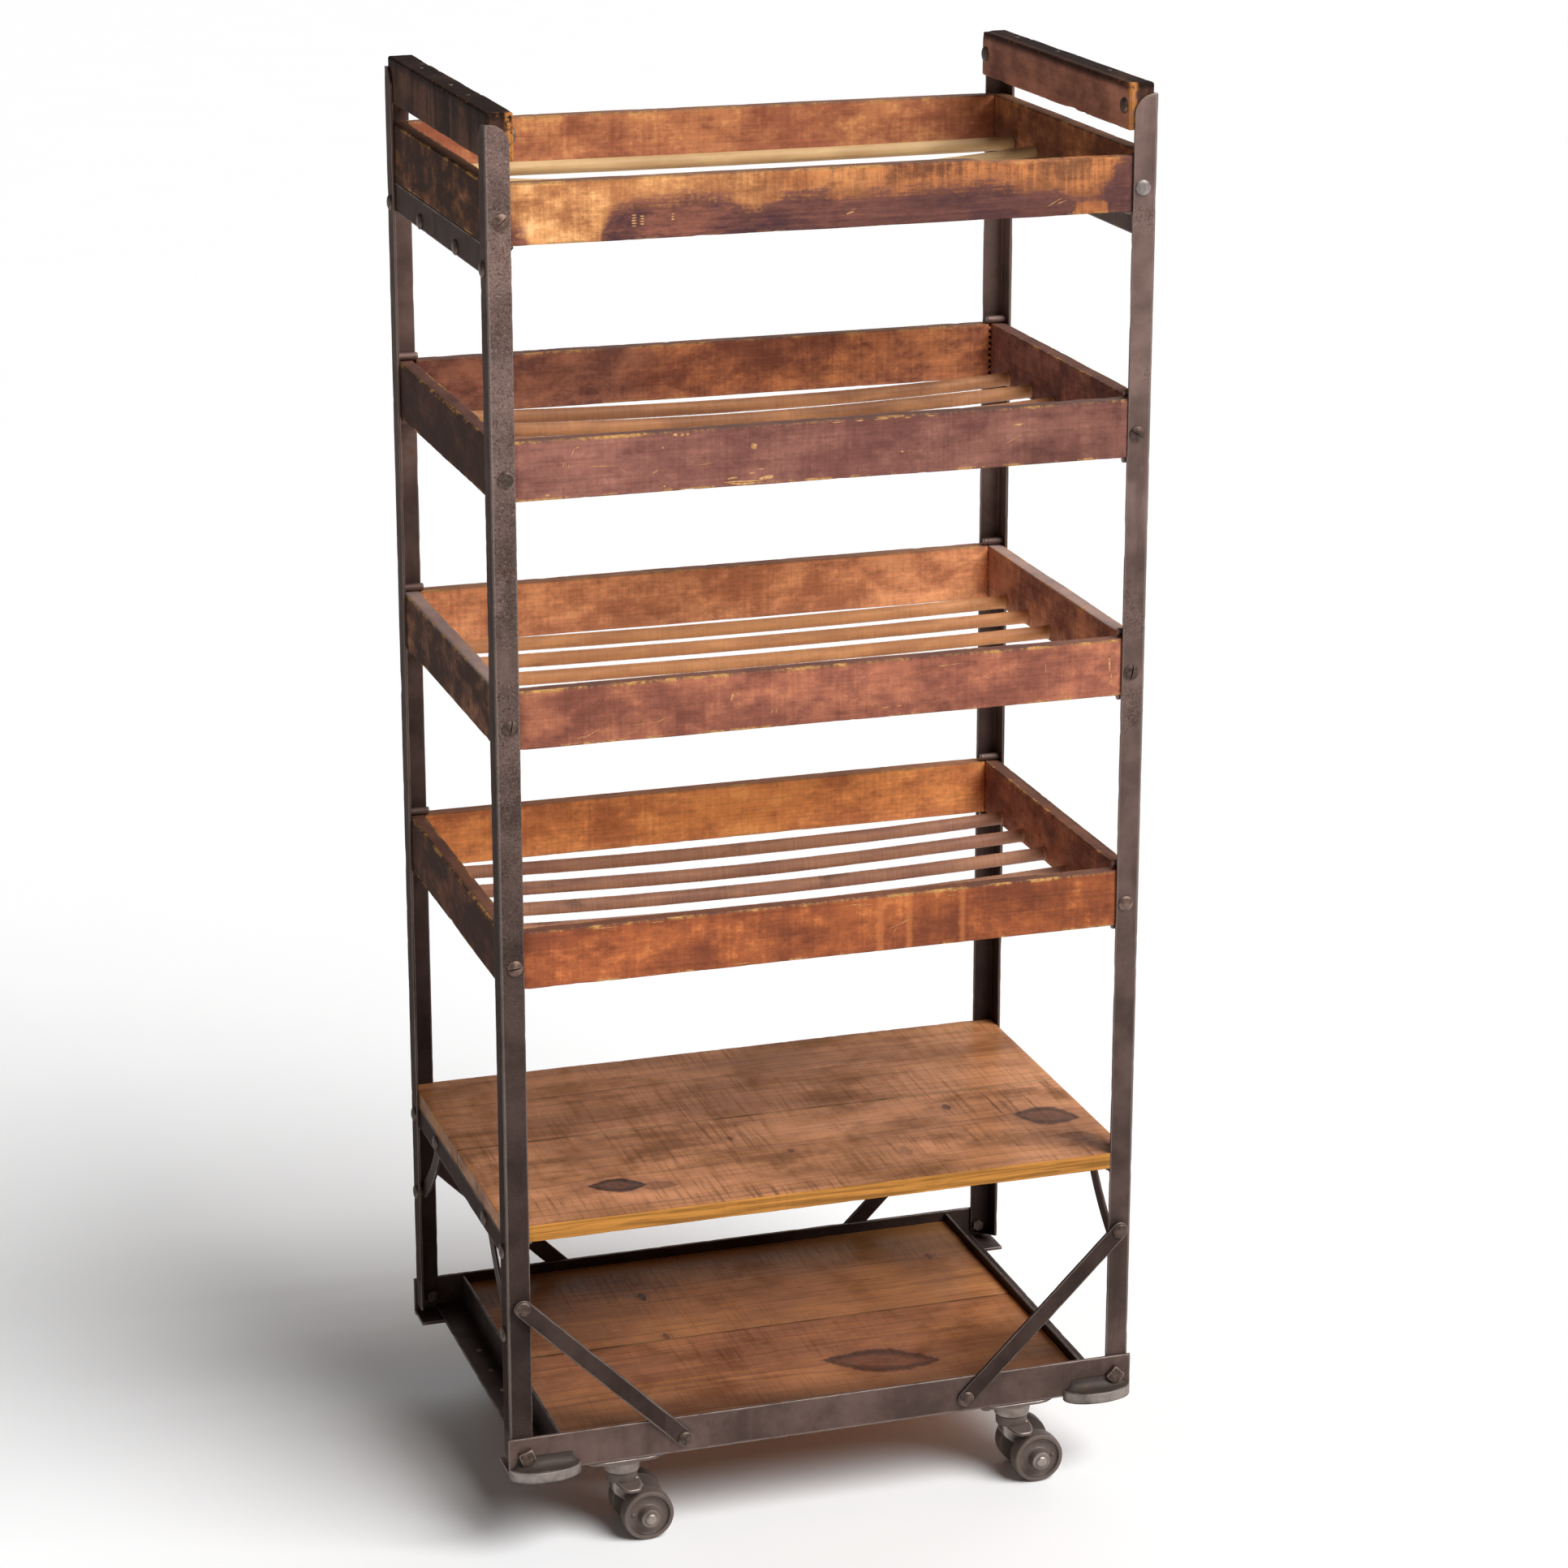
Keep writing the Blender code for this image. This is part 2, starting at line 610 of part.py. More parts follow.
def base_rail(end, y):
    """Front or rear angle of the base, with its square bolt heads and cast corner bumpers."""
    name = f"{end}_rail"
    half = POST_X + RAIL_OVERHANG
    section = [
        (y * RAIL_FACE, RAIL_LOW),
        (y * RAIL_FACE, RAIL_LOW + RAIL_LEG),
        (y * RAIL_BACK, RAIL_LOW + RAIL_LEG),
        (y * RAIL_BACK, RAIL_LEG_TOP),
        (y * (RAIL_FACE - RAIL_LEG), RAIL_LEG_TOP),
        (y * (RAIL_FACE - RAIL_LEG), RAIL_LOW),
    ]
    made = plate(name, "YZ", section, (-half, half))
    bolt_z = RAIL_LOW + SQUARE_BOLT_RISE
    bolts = []
    for side, x in SIDES.items():
        bolt_x = x * (POST_X - SQUARE_BOLT_INSET)
        bolts.append(
            (
                (bolt_x - SQUARE_BOLT / 2, bolt_x + SQUARE_BOLT / 2),
                (y * (RAIL_FACE - RAIL_WALL / 2), y * (RAIL_FACE + SQUARE_BOLT_HEIGHT)),
                (bolt_z - SQUARE_BOLT / 2, bolt_z + SQUARE_BOLT / 2),
            )
        )
        fuse(made, bumper(f"{name}_bumper_{side}", x * (POST_X - BUMPER_INSET), y))
    fuse(made, boxes(f"{name}_bolts", bolts))
    dressed(made, "aged_steel")


def bumper(name, middle, y):
    """A cast half-moon in front of the rail, with a lip that runs under it."""
    low = RAIL_LOW - BUMPER_LIP
    bow = [
        (middle + BUMPER_HALF_LENGTH * u, y * (RAIL_FACE + BUMPER_DEPTH * v))
        for u, v in arc((0, 0), 1, 0, 180, 2 * ARC_STEPS)
    ]
    inside = y * (RAIL_FACE - RAIL_WALL / 2)
    moon = [*bow, (middle - BUMPER_HALF_LENGTH, inside), (middle + BUMPER_HALF_LENGTH, inside)]
    made = plate(name, "XY", moon, (low, low + BUMPER_HEIGHT))
    lip_x = (middle - BUMPER_LIP_HALF_LENGTH, middle + BUMPER_LIP_HALF_LENGTH)
    lip_y = (y * (RAIL_FACE + BUMPER_LIP_FRONT), y * (RAIL_FACE - BUMPER_LIP_REACH))
    lip = [(lip_x, lip_y, (low, RAIL_LOW + RAIL_WALL / 2))]
    return fuse(made, boxes(f"{name}_lip", lip))


def side_rail(side, x):
    """Left or right angle of the base: flat leg outward on the rails, upright leg beside the deck."""
    low = RAIL_LEG_TOP + SEAT
    upright = SIDE_RAIL_BACK + SIDE_RAIL_WALL
    section = [
        (x * SIDE_RAIL_BACK, low),
        (x * SIDE_RAIL_EDGE, low),
        (x * SIDE_RAIL_EDGE, low + SIDE_RAIL_WALL),
        (x * upright, low + SIDE_RAIL_WALL),
        (x * upright, low + SIDE_RAIL_LEG),
        (x * SIDE_RAIL_BACK, low + SIDE_RAIL_LEG),
    ]
    half = RAIL_BACK - SEAT
    dressed(plate(f"side_rail_{side}", "XZ", section, (-half, half)), "aged_steel")


def caster_plate(corner, x, y):
    """Oblong top plate of a caster, with the bored boss that its fork swivels in."""
    name = f"caster_plate_{corner}"
    place = Matrix.Translation((x * CASTER_X, y * CASTER_Y, 0))
    top = CASTER_PLATE_LOW + CASTER_PLATE_THICKNESS
    round_end = CASTER_PLATE_WIDTH / 2
    straight = CASTER_PLATE_LENGTH / 2 - round_end
    outline = arc((straight, 0), round_end, -90, 90) + arc((-straight, 0), round_end, 90, 270)
    made = plate(name, "XY", outline, (CASTER_PLATE_LOW, top))
    boss_top = CASTER_PLATE_LOW + CASTER_PLATE_THICKNESS / 2
    boss_profile = [
        (0, boss_top),
        (BOSS_TOP_RADIUS, boss_top),
        (BOSS_TOP_RADIUS, CASTER_PLATE_LOW),
        (BOSS_LOW_RADIUS, BOSS_LOW),
        (0, BOSS_LOW),
    ]
    nut_z = (CASTER_PLATE_LOW + CASTER_PLATE_THICKNESS / 2, CASTER_PLATE_LOW - CASTER_BOLT_DROP)
    nuts = []
    for turn in SIDES.values():
        nut_x = turn * CASTER_BOLT_SPREAD / 2
        nuts.append(
            ((nut_x, 0, nut_z[0]), CASTER_BOLT_RADIUS, (nut_x, 0, nut_z[1]), CASTER_BOLT_RADIUS)
        )
    bore_radius = (STEM_RADIUS + PLAY) / math.cos(math.pi / ROUND_STEPS)
    bore_top = BOSS_LOW + STEM_LENGTH + SEAT
    bore = [((0, 0, BOSS_LOW - CUT_PAST), bore_radius, (0, 0, bore_top), bore_radius)]
    boss = turned(f"{name}_boss", boss_profile, ROUND_STEPS)
    nut_rods = rods(f"{name}_nuts", nuts, HEAD_SIDES)
    bore_rod = rods(f"{name}_bore", bore, ROUND_STEPS)
    fuse(made, boss, nut_rods)
    cut(made, bore_rod)
    for piece in (made, boss, nut_rods, bore_rod):
        piece.matrix_world = place @ piece.matrix_world
    dressed(made, "cast_iron")


def fork_mesh():
    """The fork's one-piece casting about its swivel axis: stem, crown, fenders, web and hub."""
    web_top = FENDER_TOP - LAP
    crown_low = FENDER_LOW + LAP
    axle = (CASTER_TRAIL, AXLE_Z)
    hub_half = WHEEL_SPACING / 2 - WHEEL_WIDTH / 2 - HUB_GAP
    web = [
        (-FORK_WEB_LEAD, web_top),
        *arc(axle, FORK_EYE_RADIUS, *FORK_EYE_ARC, 2 * ARC_STEPS),
        (CASTER_TRAIL + FORK_WEB_TAIL, web_top),
    ]
    made = plate("fork_web", "XZ", web, (-FORK_WEB / 2, FORK_WEB / 2))
    hub = plate("fork_hub", "XZ", circle(axle, FORK_HUB_RADIUS), (-hub_half, hub_half))
    fender_x = (FENDER_LEAD - FENDER_LENGTH / 2, FENDER_LEAD + FENDER_LENGTH / 2)
    fender_y = (-FENDER_REACH, FENDER_REACH)
    fender = boxes("fork_fender", [(fender_x, fender_y, (FENDER_LOW, FENDER_TOP))])
    profile = [
        (0, BOSS_LOW + STEM_LENGTH),
        (STEM_RADIUS, BOSS_LOW + STEM_LENGTH),
        (STEM_RADIUS, CROWN_TOP),
        (CROWN_RADIUS, CROWN_TOP),
        (CROWN_RADIUS, crown_low),
        (0, crown_low),
    ]
    crown = turned("fork_crown", profile, ROUND_STEPS)
    bore_radius = (AXLE_RADIUS + PLAY) / math.cos(math.pi / ROUND_STEPS)
    reach = hub_half + CUT_PAST
    bore = plate("fork_bore", "XZ", circle(axle, bore_radius), (-reach, reach))
    cut(fuse(made, hub, fender, crown), bore)
    bpy.context.view_layer.update()
    mesh = bpy.data.meshes.new_from_object(made.evaluated_get(bpy.context.evaluated_depsgraph_get()))
    mesh.transform(made.matrix_world)
    for piece in (made, hub, fender, crown, bore):
        bpy.data.objects.remove(piece)
    return mesh


def wheel_profile():
    """Closed section of a wheel about its axle: the outer face is at the top, with its hub."""
    half = WHEEL_WIDTH / 2
    corner = 1 / math.cos(math.pi / WHEEL_STEPS)  # a flat of the tread, not a corner, is on the floor
    tread = WHEEL_RADIUS * corner
    bore = (AXLE_RADIUS + PLAY) * corner
    return [
        (bore, half + HUB_STANDOUT),
        (HUB_RADIUS, half + HUB_STANDOUT),
        (HUB_RADIUS, half - FACE_RECESS),
        (tread - RIM_WALL, half - FACE_RECESS),
        (tread - RIM_WALL, half),
        (tread - RIM_ROUND, half),
        (tread, half - RIM_ROUND),
        (tread, RIM_ROUND - half),
        (tread - RIM_ROUND, -half),
        (bore, -half),
    ]


def axle_profile():
    """Section of an axle with a peened head outside each wheel."""
    reach = WHEEL_SPACING / 2 + WHEEL_WIDTH / 2 + HUB_STANDOUT + SEAT
    tip = reach + AXLE_HEAD_HEIGHT
    upper = [
        (0, tip),
        (AXLE_CROWN_RADIUS, tip),
        (AXLE_HEAD_RADIUS, reach + AXLE_HEAD_EDGE),
        (AXLE_HEAD_RADIUS, reach),
        (AXLE_RADIUS, reach),
    ]
    return upper + [(radius, -height) for radius, height in reversed(upper)]


def caster(corner, x, y, fork_shape):
    """A swivelling fork with its axle and pair of wheels, trailing towards +X."""
    pivot = bpy.data.objects.new(f"caster_{corner}_swivel", None)
    pivot.location = (x * CASTER_X, y * CASTER_Y, 0)
    PARTS.objects.link(pivot)
    fork = bpy.data.objects.new(f"caster_{corner}_fork", fork_shape.copy())
    PARTS.objects.link(fork)
    fork.parent = pivot
    dressed(fork, "cast_iron")

    half_step = math.pi / WHEEL_STEPS
    axle = turned(f"caster_{corner}_axle", axle_profile(), ROUND_STEPS)
    axle.parent = pivot
    axle.location = (CASTER_TRAIL, 0, AXLE_Z)
    axle.rotation_euler = (math.radians(90), 0, 0)
    dressed(axle, "cast_iron")
    for end, outward in ENDS.items():
        wheel = turned(f"caster_{corner}_wheel_{end}", wheel_profile(), WHEEL_STEPS, closed=True)
        wheel.parent = pivot
        wheel.location = (CASTER_TRAIL, outward * WHEEL_SPACING / 2, AXLE_Z)
        face_out = Matrix.Rotation(-outward * math.radians(90), 4, "X")
        wheel.rotation_euler = (face_out @ Matrix.Rotation(half_step, 4, "Z")).to_euler()
        dressed(wheel, "cast_iron")


def build_rack():
    for corner, x, y in CORNERS:
        post(corner, x, y)
        brace(corner, x, y)
        caster_plate(corner, x, y)
    for side, x in SIDES.items():
        handle(side, x)
        top_tray_angle(side, x)
        shelf_angle(side, x)
        side_rail(side, x)
    for end, y in ENDS.items():
        base_rail(end, y)
        deck_plank(end, y)
        shelf_plank(end, y)
    for tray in range(1, TRAY_COUNT + 1):
        for end, y in ENDS.items():
            tray_long_board(tray, f"tray_{tray}_{end}_board", y)
        for side, x in SIDES.items():
            tray_side_board(tray, f"tray_{tray}_{side}_board", x)
    fork_shape = fork_mesh()
    for corner, x, y in CORNERS:
        caster(corner, x, y, fork_shape)


for old in list(bpy.data.objects):
    bpy.data.objects.remove(old)
PARTS = new_collection("rolling_storage_rack")
CUTTERS = new_collection("cutters")
build_rack()
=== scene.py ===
"""Looks of the rolling storage rack: worn steel, stained tray boards, oiled planks and cast casters.

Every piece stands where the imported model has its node. Metres, +Z up, and -Y is the front.
"""

import math
from collections import namedtuple

import bmesh
import bpy
import numpy as np
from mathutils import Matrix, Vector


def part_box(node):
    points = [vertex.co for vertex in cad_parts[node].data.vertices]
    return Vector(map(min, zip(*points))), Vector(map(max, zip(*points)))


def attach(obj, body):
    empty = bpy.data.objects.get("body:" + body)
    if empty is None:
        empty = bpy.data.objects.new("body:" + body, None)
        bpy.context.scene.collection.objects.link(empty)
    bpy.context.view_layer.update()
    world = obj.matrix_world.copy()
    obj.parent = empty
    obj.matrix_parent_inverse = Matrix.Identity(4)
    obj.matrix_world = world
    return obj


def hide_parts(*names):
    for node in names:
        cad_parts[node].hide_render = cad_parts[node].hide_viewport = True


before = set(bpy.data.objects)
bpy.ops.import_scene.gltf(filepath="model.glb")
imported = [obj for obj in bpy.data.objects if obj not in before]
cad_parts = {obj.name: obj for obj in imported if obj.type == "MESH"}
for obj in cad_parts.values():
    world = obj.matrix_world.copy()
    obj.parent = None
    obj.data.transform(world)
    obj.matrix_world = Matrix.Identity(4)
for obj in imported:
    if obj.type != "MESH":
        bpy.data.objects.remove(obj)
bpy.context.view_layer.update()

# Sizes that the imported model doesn't give by its boxes, in metres. A seat is the gap at a rest.
SEAT = 0.0003

# Posts and angles, with the radii of their heel, toes and root
POST_WALL = 0.0033
POST_LEG = 0.0274
POST_RADII = (0.0024, 0.0007, 0.002)
POST_TOP_RADIUS = 0.022
ANGLE_WALL = 0.0033
ANGLE_LEG = 0.0274
ANGLE_RADII = (0.0018, 0.0007, 0.002)
TOP_ANGLE_BOLT_DROP = 0.025
TOP_ANGLE_BOLT_SPREAD = 0.168
PEG_RADIUS = 0.0045
PEG_LENGTH = 0.024
PEG_INSET = 0.0155

# Round heads, and the nails of the handles
BOLT_INSET = 0.0165
HEAD_RADIUS = 0.0088
HEAD_HEIGHT = 0.0042
TRAY_SCREW_DROP = 0.0400
HANDLE_THICKNESS = 0.030
HANDLE_ARRIS = 0.0028
NAIL_INSET = 0.013
NAIL_SINK = 0.0003
NAIL_PLACES = {-1: (-0.10, -0.02, 0.12), 1: (-0.13, 0.03, 0.16)}

# Trays
BOARD = 0.018
BOARD_ARRIS = 0.0016
BOARD_END_GAP = 0.003
BOARD_WAVE = 0.00035
WAVE_LENGTH = 0.060
FINGER_PITCH = 0.0073
FINGER_START = 0.0006
FINGER_LAP = 0.0005
FINGER_OVERCUTS = {1: 0.0007, 2: 0.0034, 3: 0.0007, 4: 0.0006}
DOWEL_COUNT = 5
DOWEL_PITCH = 0.0735
DOWEL_SHIFT = 0.010
DOWEL_RADIUS = 0.008
DOWEL_LIFTS = {1: 0.0175, 2: 0.0105, 3: 0.0105, 4: 0.0105}
DOWEL_SAGS = {1: 0.0080, 2: 0.0100, 3: 0.0035, 4: 0.0080}
REAR_DOWEL_SAGS = {1: 0.0015, 2: 0.0100, 3: 0.0035, 4: 0.0080}
LOW_DOWEL = (1, 3)
LOW_DOWEL_DROP = 0.009

# Planks, knee straps and braces
SEAM = 0.0006
TONGUE = 0.0012
TONGUE_ARRIS = 0.0002
PLANK_ARRIS = 0.0011
SHELF_SEAM_Y = 0.011
DECK_SEAM_Y = -0.004
SHELF_NOTCH_PLAY = 0.001
KNEE_WIDTH = 0.019
KNEE_WALL = 0.0033
KNEE_INSET = 0.115
KNEE_DROP = 0.1025
KNEE_BULGE = 0.009
BRACE_WIDTH = 0.021
BRACE_WALL = 0.0040
BRACE_HEAD_RISE = 0.2083
BRACE_FOOT_RISE = 0.0188
BRACE_FOOT_INSET = 0.2074

# Base
RAIL_LEG = 0.045
RAIL_WALL = 0.0040
RAIL_RADII = (0.0022, 0.0008, 0.003)
SIDE_RAIL_WALL = 0.0035
RIVET_PLACES = (0.086, 0.027, -0.030)
SQUARE_BOLT = 0.020
SQUARE_BOLT_SHARE = 0.86
SQUARE_BOLT_HEIGHT = 0.008
SQUARE_BOLT_INSET = 0.0185
SQUARE_BOLT_RISE = 0.0224
SQUARE_BOLT_SPINS = {-1: 0.35, 1: 0.78}
NUT_PROFILE = [(0, 0.0055), (0.0070, 0.0055), (0.0080, 0.0042), (0.0080, -0.0004), (0, -0.0004)]
NUT_SPIN = 0.4
BUMPER_HALF_LENGTH = 0.042
BUMPER_DEPTH = 0.021
BUMPER_HEIGHT = 0.0135
BUMPER_INSET = 0.0405
BUMPER_LIP = 0.0047
BUMPER_ROUND = 0.0022
BUMPER_ARRIS = 0.0018
BUMPER_SWEEP = 0.013
BUMPER_ROOT = 0.004

# Casters
PLATE_LENGTH = 0.104
PLATE_WIDTH = 0.054
PLATE_THICKNESS = 0.004
STUD_OFFSET = 0.032
STUD_PROFILE = [(0, 0.0105), (0.0066, 0.0105), (0.0080, 0.0085), (0.0080, 0), (0, 0)]
CASTER_TRAIL = 0.023
CROWN_RADIUS = 0.019
STEM_RADIUS = 0.008
NECK_HALF = 0.0122
HUB_RADIUS = 0.0115
HUB_PLAY = 0.0006
GUARD_GAP = 0.0035
GUARD_WALL = 0.004
GUARD_SHIFT = 0.0045
GUARD_HALF_WIDTH = 0.015
GUARD_HALF_LENGTH = 0.038
GUARD_BLUNTNESS = 0.55
GUARD_FLAT = 0.020
GUARD_CURL = 3.2
PIN_RADIUS = 0.005
PIN_HEAD = 0.0064
WHEEL_RADIUS = 0.0305
WHEEL_WIDTH = 0.020
WHEEL_SPACING = 0.052
WHEEL_BORE = 0.0054
WHEEL_BOSS = 0.0080
WHEEL_RIM = 0.0278
NUB_OFFSET = 0.0182
NUB_SPINS = {-1: math.pi * 0.97, 1: math.pi * 0.02}

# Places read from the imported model
SIDES = {"left": -1, "right": 1}
ENDS = {"front": -1, "rear": 1}
CORNERS = [(f"{end}_{side}", x, y) for end, y in ENDS.items() for side, x in SIDES.items()]
INNER_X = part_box("tray_1_right_board")[1].x
FRAME_X = INNER_X + SEAT + POST_WALL
FRAME_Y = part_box("side_rail_right")[1].y
INNER_Y = FRAME_Y - POST_WALL - SEAT
BOARD_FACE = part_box("tray_1_rear_board")[1].y
BOARD_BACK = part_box("tray_1_rear_board")[0].y
POST_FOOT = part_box("post_front_left")[0].z
POST_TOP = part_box("post_front_left")[1].z
HANDLE_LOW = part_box("handle_left")[0].z
HANDLE_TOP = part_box("handle_left")[1].z
SHELF_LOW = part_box("shelf_front_plank")[0].z
SHELF_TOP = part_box("shelf_front_plank")[1].z
DECK_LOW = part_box("deck_front_plank")[0].z
DECK_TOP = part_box("deck_front_plank")[1].z
DECK_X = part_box("deck_front_plank")[1].x
RAIL_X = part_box("front_rail")[1].x
RAIL_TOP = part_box("front_rail")[1].z
RAIL_LOW = RAIL_TOP - RAIL_LEG
RAIL_BACK = FRAME_Y + SEAT
RAIL_FACE = RAIL_BACK + RAIL_WALL
PLATE_LOW = RAIL_LOW - SEAT - PLATE_THICKNESS
BOSS_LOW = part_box("caster_plate_front_left")[0].z
CASTER_X = sum(c.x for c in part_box("caster_plate_front_right")) / 2
CASTER_Y = RAIL_FACE - PLATE_WIDTH / 2
AXLE_Z = WHEEL_RADIUS
SHELF_BOLT_Z = SHELF_LOW - ANGLE_WALL - 2 * SEAT - KNEE_WIDTH / 2


def tray_span(tray):
    """Underside and top of a tray, counted from the top."""
    low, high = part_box(f"tray_{tray}_front_board")
    return low.z, high.z


# Shapes worked out as arrays

Outline = namedtuple("Outline", "points normals edge")
Rings = namedtuple("Rings", "points normals edge")
Shape = namedtuple("Shape", "points faces edge")
ARC_STEPS = 4
EDGE_FADE = 0.0022


def lattice_noise(points, size, seed=0):
    """Noise from -1 to 1: hashed values on a lattice of a size, blended by smooth steps in each cell."""
    where = np.asarray(points) / size
    cell = np.floor(where).astype(np.int64)
    share = where - cell
    share = share * share * (3 - 2 * share)
    total = np.zeros(where.shape[:-1])
    for corner in np.ndindex(2, 2, 2):
        key = cell + np.array(corner)
        mixed = key[..., 0] * 374761393 + key[..., 1] * 668265263 + key[..., 2] * 2147483647 + seed * 97531
        mixed = (mixed ^ (mixed >> 13)) * 1274126177
        mixed = (mixed ^ (mixed >> 16)) & 0xFFFF
        weight = np.prod(np.where(corner, share, 1 - share), axis=-1)
        total += weight * (mixed / 32767.5 - 1)
    return total


def rounded(corners, radii, spacing):
    """Outline of a polygon whose corners are arcs, with its outward normals and nearness to an edge.

    An arc of radius r at a corner that turns by t starts r tan(t / 2) before the corner. A straight
    run is cut by cosine steps, close together near its ends, and its nearness to an edge fades by
    an exponential of the distance to the next convex arc.
    """
    corners = np.array(corners, float)
    radii = np.array(np.broadcast_to(radii, len(corners)), float)
    after = np.roll(corners, -1, axis=0)
    if np.sum(corners[:, 0] * after[:, 1] - after[:, 0] * corners[:, 1]) < 0:
        return rounded(corners[::-1], radii[::-1], spacing)
    heading = after - corners
    heading /= np.linalg.norm(heading, axis=1)[:, None]
    before = np.roll(heading, 1, axis=0)
    cross = before[:, 0] * heading[:, 1] - before[:, 1] * heading[:, 0]
    turn = np.arctan2(cross, np.sum(before * heading, axis=1))
    reach = radii * np.tan(np.abs(turn) / 2)
    points, normals, edge = [], [], []
    for k, corner in enumerate(corners):
        bend = np.sign(turn[k])
        start_angle = math.atan2(-before[k, 0], before[k, 1])
        angles = start_angle + np.linspace(0, turn[k], ARC_STEPS + 1)
        out = np.stack([np.cos(angles), np.sin(angles)], axis=1)
        centre = corner - before[k] * reach[k] - bend * out[0] * radii[k]
        points.append(centre + bend * out * radii[k])
        normals.append(out)
        edge.append(np.full(len(out), float(bend > 0)))
        n = (k + 1) % len(corners)
        start = corner + heading[k] * reach[k]
        end = corners[n] - heading[k] * reach[n]
        length = np.linalg.norm(end - start)
        count = max(2, math.ceil(length / spacing))
        share = 0.5 - 0.5 * np.cos(np.pi * np.arange(1, count) / count)
        points.append(start + (end - start) * share[:, None])
        normals.append(np.tile((heading[k, 1], -heading[k, 0]), (len(share), 1)))
        near_start = np.exp(-share * length / EDGE_FADE) * (turn[k] > 0)
        near_end = np.exp(-(1 - share) * length / EDGE_FADE) * (turn[n] > 0)
        edge.append(np.maximum(near_start, near_end))
    return Outline(np.concatenate(points), np.concatenate(normals), np.concatenate(edge))


def rectangle(a, b, radii, spacing):
    """Rounded rectangle between two opposite corners."""
    return rounded([(a[0], a[1]), (b[0], a[1]), (b[0], b[1]), (a[0], b[1])], radii, spacing)


def ell(corner, leg_a, leg_b, wall, radii, spacing):
    """Section of an angle iron from its outer corner: signed legs along both axes, and the wall.

    The radii are those of the outer corner, the toes and the inner root.
    """
    a, b = corner
    wall_a, wall_b = math.copysign(wall, leg_a), math.copysign(wall, leg_b)
    points = [
        (a, b),
        (a + leg_a, b),
        (a + leg_a, b + wall_b),
        (a + wall_a, b + wall_b),
        (a + wall_a, b + leg_b),
        (a, b + leg_b),
    ]
    heel, toe, root = radii
    return rounded(points, [heel, toe, toe, root, toe, toe], spacing)


def smooth_outline(points):
    """Outline through points on a smooth closed curve, its normals square to the neighbours' chord."""
    points = np.array(points, float)
    chord = np.roll(points, -1, axis=0) - np.roll(points, 1, axis=0)
    area = np.sum(points[:, 0] * np.roll(points[:, 1], -1) - np.roll(points[:, 0], -1) * points[:, 1])
    out = np.stack([chord[:, 1], -chord[:, 0]], axis=1) * np.sign(area)
    out /= np.linalg.norm(out, axis=1)[:, None]
    return Outline(points, out, np.zeros(len(points)))


def circle(centre, radius, steps):
    angles = np.linspace(0, 2 * np.pi, steps, endpoint=False)
    return smooth_outline(np.array(centre) + radius * np.stack([np.cos(angles), np.sin(angles)], axis=1))


def strap(p, q, width, bulge=0.0, steps=24):
    """Flat strap with round ends from p to q, whose spine is a parabola that bows to its left."""
    p, q = np.array(p, float), np.array(q, float)
    along = (q - p) / np.linalg.norm(q - p)
    across = np.array((-along[1], along[0]))
    share = np.linspace(0, 1, steps)[:, None]
    spine = p + (q - p) * share + across * bulge * 4 * share * (1 - share)
    slope = np.gradient(spine, axis=0)
    slope /= np.linalg.norm(slope, axis=1)[:, None]
    side = np.stack([-slope[:, 1], slope[:, 0]], axis=1) * width / 2
    turn = np.linspace(0, np.pi, 13)[1:-1, None]
    tip = spine[-1] + np.cos(turn) * side[-1] + np.sin(turn) * slope[-1] * width / 2
    tail = spine[0] + np.cos(turn) * side[0] - np.sin(turn) * slope[0] * width / 2
    return smooth_outline(np.concatenate([spine + side, tip, (spine - side)[::-1], tail[::-1]]))


def levels(low, high, rounding, spacing):
    """Heights and insets of rings between two ends whose edges are quarter circles."""
    turn = np.linspace(0, np.pi / 2, ARC_STEPS)
    lift = rounding * (1 - np.cos(turn))
    inset = rounding * (1 - np.sin(turn))
    count = max(1, math.ceil((high - low - 2 * rounding) / spacing))
    middle = np.linspace(low + rounding, high - rounding, count + 1)[1:-1]
    heights = np.concatenate([low + lift, middle, (high - lift)[::-1]])
    return heights, np.concatenate([inset, np.zeros(len(middle)), inset[::-1]])


def carried(outline, heights, insets, axes):
    """Rings of an outline carried along the third of the axes, each at a height, drawn in by an inset."""
    a, b, c = ("XYZ".index(axis) for axis in axes)
    heights, insets = np.asarray(heights, float), np.asarray(insets, float)
    flat = outline.points - outline.normals * insets[:, None, None]
    points = np.empty((len(heights), len(outline.points), 3))
    points[..., a], points[..., b], points[..., c] = flat[..., 0], flat[..., 1], heights[:, None]
    normals = np.zeros_like(points)
    normals[..., a], normals[..., b] = outline.normals[:, 0], outline.normals[:, 1]
    end = np.minimum(heights - heights.min(), heights.max() - heights)
    near_end = np.exp(-np.maximum(end - insets.max(), 0) / EDGE_FADE)
    return Rings(points, normals, np.maximum(outline.edge, near_end[:, None]))


def bar(outline, low, high, axes, rounding=0.0008, spacing=0.006):
    """Rings of a straight bar: an outline carried between two ends with rounded edges."""
    return carried(outline, *levels(low, high, rounding, spacing), axes)


def plate(outline, low, high, axes, rounding=0.0008, margin=0.0032):
    """Rings of a flat plate: a bar with one more ring inside each flat face, free of edge wear."""
    heights, insets = levels(low, high, rounding, (high - low) / 2)
    heights = np.concatenate([heights[:1], heights, heights[-1:]])
    insets = np.concatenate([[rounding + margin], insets, [rounding + margin]])
    rings = carried(outline, heights, insets, axes)
    rings.edge[[0, -1]] = 0
    rings.edge[1:-1] = np.where(insets[1:-1, None] > 0, 1.0, 0.6)
    return rings


